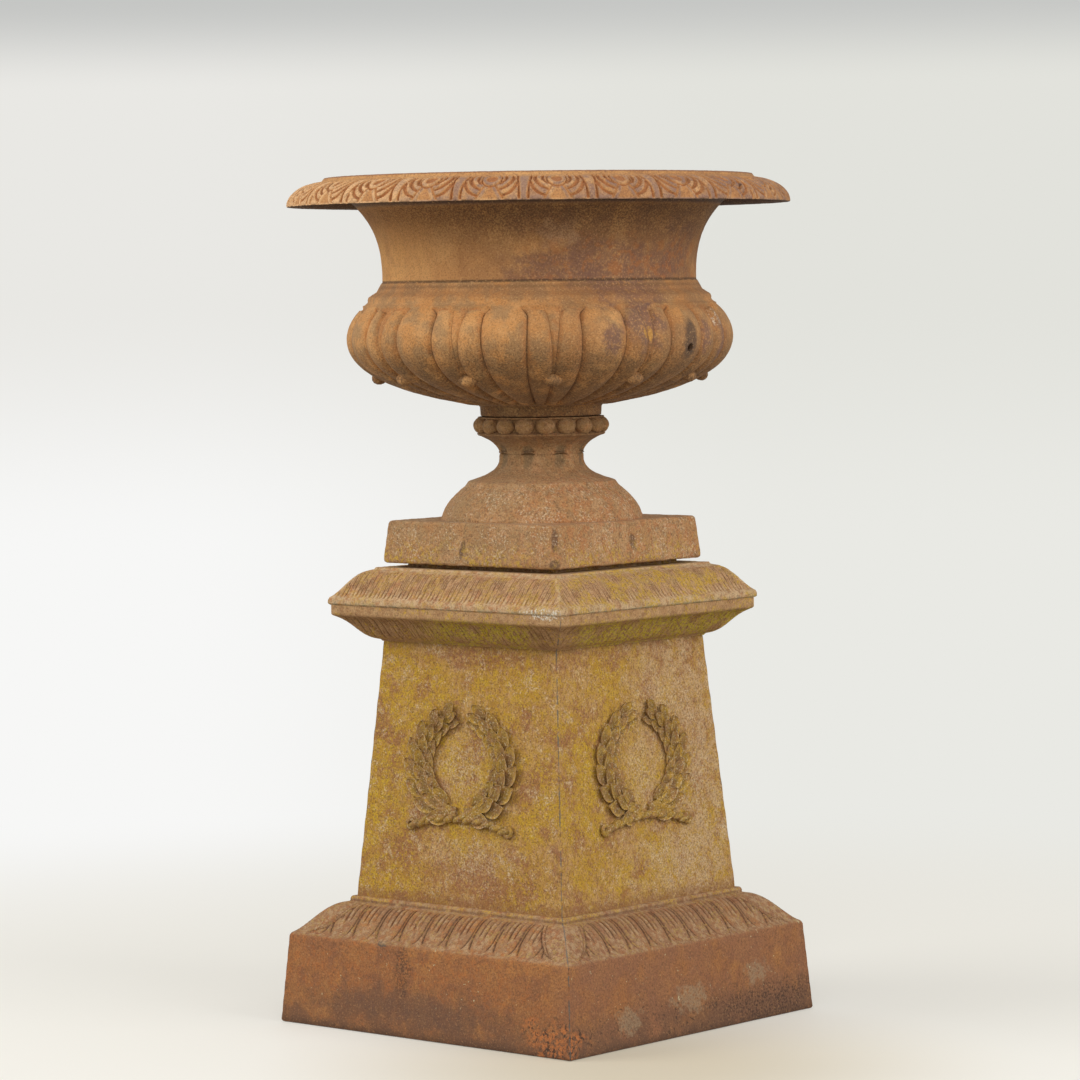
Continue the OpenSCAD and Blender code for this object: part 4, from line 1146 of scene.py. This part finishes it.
COLLAR_ROWS = rows(np.concatenate([
    [(58, 773), (58, 775)], bezier((58, 777), (63, 787), (70, 791), (82.5, 797))]), 1.6, carved=True)
COLLAR_SECTION = joined(
    COLLAR_ROWS, rows([(82.5, 797), (86.5, 798), (88.5, 801), (85.5, 802)], 1.2),
    rows([(85.5, 802), (80, 804), (80, 819.5), (85.5, 821), (87.5, 822), (85.5, 824)], 2),
    rows([(85.5, 824), (64, 824), (64, 816), (46, 814), (46, 773), (58, 773)], 20))

UPPER_BELLY = bezier((241, 976), (252, 968), (265, 950), (265, 931))
LOWER_BELLY = bezier((265, 931), (265, 893), (222, 868), (150, 850))


def bowl_section():
    """The bowl's section: joint, belly, hub and cavity, with the share down the belly as its place."""
    path = np.concatenate([UPPER_BELLY, LOWER_BELLY[1:], [(105, 841)]])
    belly = rows(path, 2.5, carved=True)
    ends = (0, 0.12, 0.3, 0.6, 1, 1.22, 1.45, 1.7, 2, 3)
    run = np.concatenate([[0], np.cumsum(np.linalg.norm(np.diff(path, axis=0), axis=1))])
    share = np.concatenate([np.linspace(0, 1, 25), np.linspace(1, 2, 25)[1:], [3]])
    belly[:, 2] = np.interp(np.interp(belly[:, 2], run, share), ends, np.arange(10) / 9)
    return joined(
        rows([(214, 1008), (216, 1006), (222, 995), (233, 988), (234.5, 984), (234, 981), (238, 977.5),
              (241, 976)], 1.9),
        belly, rows([(105, 841), (99, 840), (83.5, 839), (82.5, 824), (68, 824), (68, 852)], 4),
        rows([(68, 852), (99, 852), (155, 864), (219, 889), (246, 931), (204, 998), (178, 998), (178, 1008),
              (214, 1008)], 26))


BAND = np.concatenate([[(342, 1111)], bezier((343, 1113), (342, 1126), (328, 1142), (295, 1145))])
UNDER = bezier((247, 1108), (269, 1134), (313, 1140), (334, 1116))
MOUTH = bezier((278, 1147), (258, 1133), (203, 1093), (203, 1038))
NECK = bezier((214, 1007.2), (213, 1050), (222, 1078), (241, 1101))


# Leaves of one branch: rank, count, first angle, length, width, lean and lift of the tip
WREATH_RANKS = (
    (-1, 8, -66, 34, 19, -14, 5),
    (1, 8, -74, 37, 23, 20, 7.5),
    (0, 8, -60, 35, 20, 2, 9.5),
)
# Half of the ribbon from its middle outwards: the places of its turns
RIBBON_TURNS = ((0, -70), (17, -70.5), (34, -72), (51, -74.5), (66, -78), (80, -82))


def branch_point(angle, k):
    """A point of a wreath's branch: up the panel, k times as far out as its middle line."""
    up = math.sin(angle)
    k = 1 + (k - 1) * (1 - 0.45 * max(0, up) ** 2)
    return 72 * k * math.cos(angle), (62 + 7 * max(0, up)) * k * up


def laurel_leaf(length, width, lift):
    """A pointed leaf along X in millimetres: a curled blade with a midrib, lifted off at its tip."""
    leaf = solid("uv_sphere", segments=20, ring_count=20, radius=1, rotation=(0, math.pi / 2, 0))
    co = corners(leaf) * MM
    t = (co[:, 0] + 1) / 2
    ring = np.sqrt(np.maximum(1 - co[:, 0] ** 2, 1e-6))
    s, side = co[:, 1] / ring, co[:, 2] / ring
    half = width / 2 * np.interp(
        t, (0, 0.1, 0.3, 0.5, 0.7, 0.86, 0.95, 1), (0.2, 0.6, 0.95, 1, 0.86, 0.52, 0.24, 0.02))
    middle = 0.5 + lift * t ** 1.3 - 1.6 * t ** 5 + 4.6 * (np.abs(s) ** 2.5 - 0.5) * (t > 0.05)
    rib = 1.5 * np.exp(-(s / 0.16) ** 2) * (1 - t) ** 0.5
    thick = 1.3 + 2.5 * (1 - t)
    place(leaf, np.column_stack([length * (t - 0.12), half * s, middle + side * thick + rib * (side > 0)]))
    # The hollow attribute runs highest along the middle near the root, where the next leaf lies over it, and
    # least at the rim and tip; the wreath's finish paints its shade and highlight by it
    store(leaf, "hollow", np.clip(1.15 - 0.9 * np.abs(s) ** 3 - 0.6 * t ** 2, 0, 1))
    return leaf


class PLANTER_OT_rim(bpy.types.Operator):
    """Models the neck and the turned-down rim with its carved leaves"""

    bl_idname = "planter.rim"
    bl_label = "Neck and rim"

    def execute(self, context):
        iron = rim_iron()
        inner = MOUTH[:5]
        lip = joined(
            rows(np.concatenate([[(258, 1119.5)], UNDER[8:], [(338, 1111), (341, 1111)]]), 6),
            rows(BAND, 1.6, carved=True),
            rows([(295, 1145), (294, 1146), (291, 1150), (282, 1150)], 1.6),
            rows(np.concatenate([[(282, 1150)], inner]), 6), rows([inner[-1], (262, 1128), (258, 1119.5)], 9))
        ring = turned("urn_rim_lip", lip, RIM_LEAVES, 54, rim_relief)
        eaten(ring, 7, 0.6)
        bored(ring, around(329, 4, 1132), (1, 0, 1), 4.5, 50)
        done(ring, "urn", ["urn_rim"], iron)
        trumpet = joined(
            rows(np.concatenate([NECK, UNDER[:9]]), 2.6),
            rows([UNDER[8], (262, 1130), MOUTH[3]], 4), rows(MOUTH[3:], 5),
            rows([MOUTH[-1], (203, 1018), (178, 1018), (178, 1007.2), (214, 1007.2)], 6))
        neck = turned("urn_neck", trumpet, RIM_LEAVES, 20)
        eaten(neck, 9, 0.8)
        done(neck, "urn", [], iron)
        return {"FINISHED"}


class PLANTER_OT_bowl(bpy.types.Operator):
    """Models the gadrooned bowl with its lobes, tongues and knobs"""

    bl_idname = "planter.bowl"
    bl_label = "Gadrooned bowl"

    def execute(self, context):
        iron = bowl_iron()
        bowl = turned("urn_bowl_shell", bowl_section(), LOBES, 52, bowl_relief, bowl_columns)
        eaten(bowl, 8, 0.7)
        bored(bowl, (258, 0, 917), (1, 0, 0), 5.5, 60)
        done(bowl, "urn", ["urn_bowl"], iron)
        z = 847
        floor = solid("cylinder", vertices=96, radius=70 * MM, depth=10 * MM, location=(0, 0, z * MM))
        floor.name = floor.data.name = "urn_bowl_floor"
        modify(floor, "BEVEL", width=0.8 * MM, segments=2)
        for turn in range(4):
            bored(floor, around(46, 45 + 90 * turn, z), (0, 0, 1), 7, 20)
        bored(floor, (0, 0, z), (0, 0, 1), 8.5, 20)
        done(floor, "urn", [], iron)
        knobs = combined("urn_bowl_knobs", strung(LOBES, HALF_LOBE, (220, 0, 878.5), "ico_sphere",
                                                  (0.84, 1.12, 0.8), subdivisions=4, radius=13 * MM))
        eaten(knobs, 6, 2.2)
        done(knobs, "urn", [], iron)
        return {"FINISHED"}


class PLANTER_OT_socle(bpy.types.Operator):
    """Models the collar with its beads, the domed foot and the square block"""

    bl_idname = "planter.socle"
    bl_label = "Collar and foot"

    def execute(self, context):
        iron = socle_iron()
        collar = turned("collar_turning", COLLAR_SECTION, FLUTES, 36, collar_relief)
        beads = strung(BEADS, -45, (81.3, 0, 811.5), "uv_sphere",
                       (0.95, 1.07, 0.94), segments=32, ring_count=20, radius=13 * MM)
        whole = combined("urn_collar_casting", [collar, *beads])
        eaten(whole, 7, 1.1)
        done(whole, "urn", ["urn_collar"], iron)
        dome = turned("dome_turning", DOME_SECTION, FLUTES, 44, foot_relief)
        side = run_side("block_side", BLOCK_SECTION, 3.0, capped=False)
        block = ring_of(side, "block")
        mode("EDIT")
        weld()
        rounded(block, 5)
        foot = combined("urn_foot_casting", [dome, block])
        eaten(foot, 8, 1.3)
        done(foot, "urn", ["urn_foot"], iron)
        return {"FINISHED"}


class PLANTER_OT_cap(bpy.types.Operator):
    """Models the cap with its feathered cyma and the urn's seat"""

    bl_idname = "planter.cap"
    bl_label = "Cap"

    def execute(self, context):
        side = run_side("cap_side", CAP_SECTION, 1.6, cap_relief, capped=False)
        cap = ring_of(side, "cap_sides")
        mitred(cap)
        seat = solid("cube", (262 * MM, 262 * MM, 14 * MM), size=1, location=(0, 0, 619 * MM))
        modify(seat, "BEVEL", width=1.5 * MM, segments=3)
        bored(seat, (0, 0, 619), (0, 0, 1), 30, 40)
        whole = combined("cap_casting", [cap, seat])
        eaten(whole, 6, 1.1)
        done(whole, "pedestal", ["cap_plate"], cap_iron())
        return {"FINISHED"}


class PLANTER_OT_cornice(bpy.types.Operator):
    """Models the four grooved sides of the cornice"""

    bl_idname = "planter.cornice"
    bl_label = "Cornice"

    def execute(self, context):
        iron = cornice_iron()
        side = run_side("cornice_casting_front", CORNICE_SECTION, 1.9, cornice_relief, mitre=1.0)
        eaten_side(side, 6, 0.9)
        set_round(side, "cornice_casting_", "cornice_", iron)
        return {"FINISHED"}


class PLANTER_OT_shaft(bpy.types.Operator):
    """Models the four plain panels of the shaft with their uneven skin"""

    bl_idname = "planter.shaft"
    bl_label = "Shaft"

    def execute(self, context):
        iron = shaft_iron()
        side = run_side("shaft_casting_front", SHAFT_SECTION, 3.4, mitre=1.2)
        eaten_side(side, 60, 1.0)
        eaten_side(side, 7, 0.7)
        set_round(side, "shaft_casting_", "panel_", iron)
        return {"FINISHED"}


class PLANTER_OT_wreaths(bpy.types.Operator):
    """Models one laurel wreath leaf by leaf and sets a copy on each face"""

    bl_idname = "planter.wreaths"
    bl_label = "Laurel wreaths"

    def execute(self, context):
        iron = wreath_iron()
        leaves = []
        for way in (1, -1):
            for rank, count, first, length, width, lean, lift in WREATH_RANKS:
                for i in range(count):
                    angle = math.radians(first + (64 - first) * i / (count - 1))
                    x, y = branch_point(angle, 1 + 0.15 * rank)
                    up = math.degrees(math.atan2(66 * math.cos(angle), -72 * math.sin(angle))) - lean
                    small = 1 - 0.25 * (i / (count - 1)) ** 2
                    leaf = laurel_leaf(length * small, width * small, lift)
                    leaf.data.transform(pose((x, y, 0), math.radians(up)))
                    if way < 0:
                        leaf.data.transform(Matrix.Scale(-1, 4, (1, 0, 0)))
                        leaf.data.flip_normals()
                    leaves.append(leaf)
        others = [*self.backing(), *self.ribbon()]
        # The plates and the ribbon count as deep in a hollow: they take the olive and part of the painted
        # shade between the leaves, and no painted highlight
        for part in others:
            store(part, "hollow", np.full(len(part.data.vertices), 0.78))
        wreath = combined("wreath_casting_front", [*leaves, *others])
        panel = (0, -(SHAFT_FOOT - WREATH_UP * math.tan(BATTER)), Z_SHAFT + WREATH_UP)
        wreath.data.transform(pose(panel, math.pi / 2 - BATTER, "X"))
        eaten(wreath, 5, 0.5)
        set_round(wreath, "wreath_casting_", "wreath_", iron, 50)
        return {"FINISHED"}

    def backing(self):
        """The thin plates that carry the leaves."""
        plates = []
        for way in (1, -1):
            turns = [math.radians(a) for a in range(-84, 80, 12)]
            outline = [branch_point(a, 0.9) for a in turns] + [branch_point(a, 1.11) for a in reversed(turns)]
            plate = draw("wreath_plate", [(way * x * MM, y * MM, -MM) for x, y in outline])
            bpy.ops.mesh.edge_face_add()
            extrude((0, 0, 4.5 * MM))
            weld()
            plates.append(plate)
        return plates

    def ribbon(self):
        """The twisted ribbon under the branches, drooping to a curl at each end."""
        turns = []
        for way in (1, -1):
            for (x, y), (nx, ny) in zip(RIBBON_TURNS, RIBBON_TURNS[1:] + ((94, -84),)):
                if way < 0 and x == 0:
                    continue
                tilt = way * math.atan2(ny - y, nx - x) + math.radians(20)
                turns.append(self.lump((way * x, y), (25, 10.5, 12), tilt))
            turns.append(solid("torus", major_segments=28, minor_segments=12, major_radius=6 * MM,
                               minor_radius=3.2 * MM, location=(way * 87 * MM, -82 * MM, 3 * MM)))
        return turns

    def lump(self, at, widths, tilt):
        """One rounded turn of the ribbon, lying on the panel."""
        made = solid("uv_sphere", widths, segments=20, ring_count=12, radius=0.5 * MM)
        made.data.transform(pose((*at, 2.5), tilt))
        return made


class PLANTER_OT_base(bpy.types.Operator):
    """Models the four sides of the base with their leaf moulding"""

    bl_idname = "planter.base"
    bl_label = "Base"

    def execute(self, context):
        iron = base_iron()
        side = run_side("base_casting_front", BASE_SECTION, 1.8, base_relief, mitre=1.4)
        eaten_side(side, 90, 1.0)
        eaten_side(side, 6, 0.9)
        set_round(side, "base_casting_", "base_", iron)
        return {"FINISHED"}


class PLANTER_OT_fixings(bpy.types.Operator):
    """Gives the bolts, nuts, screws and the tie rod their rusty steel"""

    bl_idname = "planter.fixings"
    bl_label = "Fixings"

    def execute(self, context):
        steel = fixing_steel()
        slots = {row["node"]: row["material_slot"] for row in frame["record"]["subparts"]}
        for name, node in frame["nodes"].items():
            if slots.get(name) == "fixing_steel":
                node.data.materials.clear()
                node.data.materials.append(steel)
        return {"FINISHED"}


class PLANTER_OT_stage(bpy.types.Operator):
    """Sets the pale floor, the soft light and the camera"""

    bl_idname = "planter.stage"
    bl_label = "Studio"

    def execute(self, context):
        scene, stage = context.scene, context.scene.planter_stage
        scene.view_settings.view_transform = "Standard"
        floor = solid("circle", vertices=96, radius=30, fill_type="NGON", location=(0, 0, -0.0004))
        floor.name = floor.data.name = "studio_floor"
        paper = bpy.data.materials.new("matt_studio_paper")
        paper.use_nodes = True
        tree = paper.node_tree
        shader = tree.nodes["Principled BSDF"]
        shader.inputs["Roughness"].default_value = 0.6
        at = add(tree, "ShaderNodeTexCoord").outputs["Object"]
        far = vector(tree, "LENGTH", at)
        fade = ramp(tree, far, 0.5, 2.4)
        seen = self.seen(tree)
        # Painted shadow and warm reflection on the floor: a darker tan round a point before the near corner,
        # fading over about half a metre
        painted_shadow_centre = (0.365, -0.24, 0)
        off = vector(tree, "DISTANCE", at, painted_shadow_centre)
        near = ramp(tree, off, 0.54, 0.05)
        paper_and_painted_shadow = blend(tree, near, rgba(stage.paper), rgba("#d6cbb4"))
        tone = blend(tree, seen, rgba(stage.bounce), paper_and_painted_shadow)
        tree.links.new(tone, shader.inputs["Base Color"])
        # The direction of each place from the camera's, to run into the backdrop behind it
        way = vector(tree, "SUBTRACT", at, CAMERA_AT)
        ray = vector(tree, "NORMALIZE", way)
        # The glow seen near the object carries the same painted shadow
        under = blend(tree, near, rgba("#f4f1e8"), rgba("#dad0ba"))
        glow = blend(tree, fade, under, self.backdrop(tree, stage, ray))
        # Painted light: the camera sees the floor as at least a third emission, which lightens the real
        # shadow round the object, and as all emission far out, where it meets the backdrop
        share = add(tree, "ShaderNodeMapRange", {"Value": fade, "To Min": 0.35, "To Max": 1.0}).outputs[0]
        share = add(tree, "ShaderNodeMath", {0: share, 1: seen}, operation="MULTIPLY").outputs[0]
        shine = add(tree, "ShaderNodeEmission", {"Color": glow, "Strength": 1.0})
        mixed = add(tree, "ShaderNodeMixShader", {0: share, 1: shader.outputs[0], 2: shine.outputs[0]})
        tree.links.new(mixed.outputs[0], tree.nodes["Material Output"].inputs["Surface"])
        floor.data.materials.append(paper)
        self.sky(scene, stage)
        self.lamps(stage)
        self.camera(scene, stage)
        return {"FINISHED"}

    def seen(self, tree):
        """1 for what the camera sees, also in a reflection, and 0 for what lights the object."""
        path = add(tree, "ShaderNodeLightPath")
        rays = {0: path.outputs["Is Camera Ray"], 1: path.outputs["Is Glossy Ray"]}
        return add(tree, "ShaderNodeMath", rays, operation="MAXIMUM").outputs[0]

    def backdrop(self, tree, stage, ray):
        """The backdrop's colour along a direction: brighter at the left, greyer at the top."""
        right = vector(tree, "DOT_PRODUCT", ray, CAMERA_RIGHT)
        up = add(tree, "ShaderNodeSeparateXYZ", {0: ray}).outputs["Z"]
        side = ramp(tree, right, -0.09, 0.06)
        low = blend(tree, side, rgba(stage.bright), rgba(stage.dull))
        high = blend(tree, side, rgba("#e9e8e4"), rgba("#e2e2dc"))
        middle = ramp(tree, up, -0.06, 0.0)
        tone = blend(tree, middle, low, high)
        top = ramp(tree, up, 0.046, 0.068)
        return blend(tree, top, tone, rgba("#c5c6c4"))

    def sky(self, scene, stage):
        """The even light from all round, with the backdrop behind it."""
        world = bpy.data.worlds.new("studio")
        world.use_nodes = True
        scene.world = world
        tree = world.node_tree
        light = tree.nodes["Background"]
        light.inputs["Color"].default_value = (1, 1, 1, 1)
        light.inputs["Strength"].default_value = stage.sky
        ray = add(tree, "ShaderNodeTexCoord").outputs["Generated"]
        colour = self.backdrop(tree, stage, ray)
        behind = add(tree, "ShaderNodeBackground", {"Color": colour, "Strength": 1.0})
        mixed = add(tree, "ShaderNodeMixShader",
                    {0: self.seen(tree), 1: light.outputs[0], 2: behind.outputs[0]})
        tree.links.new(mixed.outputs[0], tree.nodes["World Output"].inputs["Surface"])

    def lamps(self, stage):
        """Three large soft lamps."""
        width, aim = 2.4, Vector((0, 0, 0.6))
        for name, at, share in (
                ("left_softbox", (-2.2, -2.8, 2.7), 1.0), ("front_softbox", (2.6, -3.0, 2.6), 0.67),
                ("right_softbox", (3.7, 0.3, 2.3), 0.8)):
            deselect()
            bpy.ops.object.light_add(type="AREA", location=at)
            lamp = bpy.context.object
            lamp.name = lamp.data.name = name
            lamp.data.size = width
            lamp.data.energy = stage.key * share
            lamp.rotation_euler = (Vector(at) - aim).to_track_quat("Z", "Y").to_euler()

    def camera(self, scene, stage):
        """The camera at the photo's view."""
        turn, pitch, roll = math.radians(40.71), 0.0579, -0.0124
        deselect()
        bpy.ops.object.camera_add()
        camera = bpy.context.object
        camera.name = camera.data.name = "photo_view"
        right = Vector((math.cos(turn), math.sin(turn), 0))
        level = Vector((-math.sin(turn), math.cos(turn), 0))
        ahead = level * math.cos(pitch) - Vector((0, 0, math.sin(pitch)))
        up = right.cross(ahead)
        side = right * math.cos(roll) + up * math.sin(roll)
        head = up * math.cos(roll) - right * math.sin(roll)
        camera.matrix_world = Matrix.Translation(CAMERA_AT) @ Matrix(
            (side, head, -ahead)).transposed().to_4x4()
        camera.data.lens = stage.lens
        camera.data.sensor_width = 36
        camera.data.clip_end = 100
        scene.camera = camera


class PLANTER_PT_panel(bpy.types.Panel):
    """Lists the steps that build the planter"""

    bl_idname = "PLANTER_PT_panel"
    bl_label = "Pedestal planter"
    bl_space_type = "VIEW_3D"
    bl_region_type = "UI"
    bl_category = "Planter"

    def draw(self, context):
        for group in (getattr(context.scene, name) for name in GROUPS):
            column = self.layout.column()
            for name in group.__annotations__:
                column.prop(group, name)
        for step in STEPS:
            self.layout.operator(step.bl_idname)


STEPS = (PLANTER_OT_rim, PLANTER_OT_bowl, PLANTER_OT_socle, PLANTER_OT_cap, PLANTER_OT_cornice,
         PLANTER_OT_shaft, PLANTER_OT_wreaths, PLANTER_OT_base, PLANTER_OT_fixings, PLANTER_OT_stage)
GROUPS = {"planter_carving": PlanterCarving, "planter_finish": PlanterFinish, "planter_stage": PlanterStage}


def register():
    for group in GROUPS.values():
        bpy.utils.register_class(group)
    for name, group in GROUPS.items():
        setattr(bpy.types.Scene, name, bpy.props.PointerProperty(type=group))
    for step in (*STEPS, PLANTER_PT_panel):
        bpy.utils.register_class(step)


def unregister():
    for step in (PLANTER_PT_panel, *reversed(STEPS)):
        bpy.utils.unregister_class(step)
    for name in GROUPS:
        delattr(bpy.types.Scene, name)
    for group in GROUPS.values():
        bpy.utils.unregister_class(group)


def main():
    register()
    for step in STEPS:
        area, verb = step.bl_idname.split(".")
        getattr(getattr(bpy.ops, area), verb)()


if __name__ == "__main__":
    main()
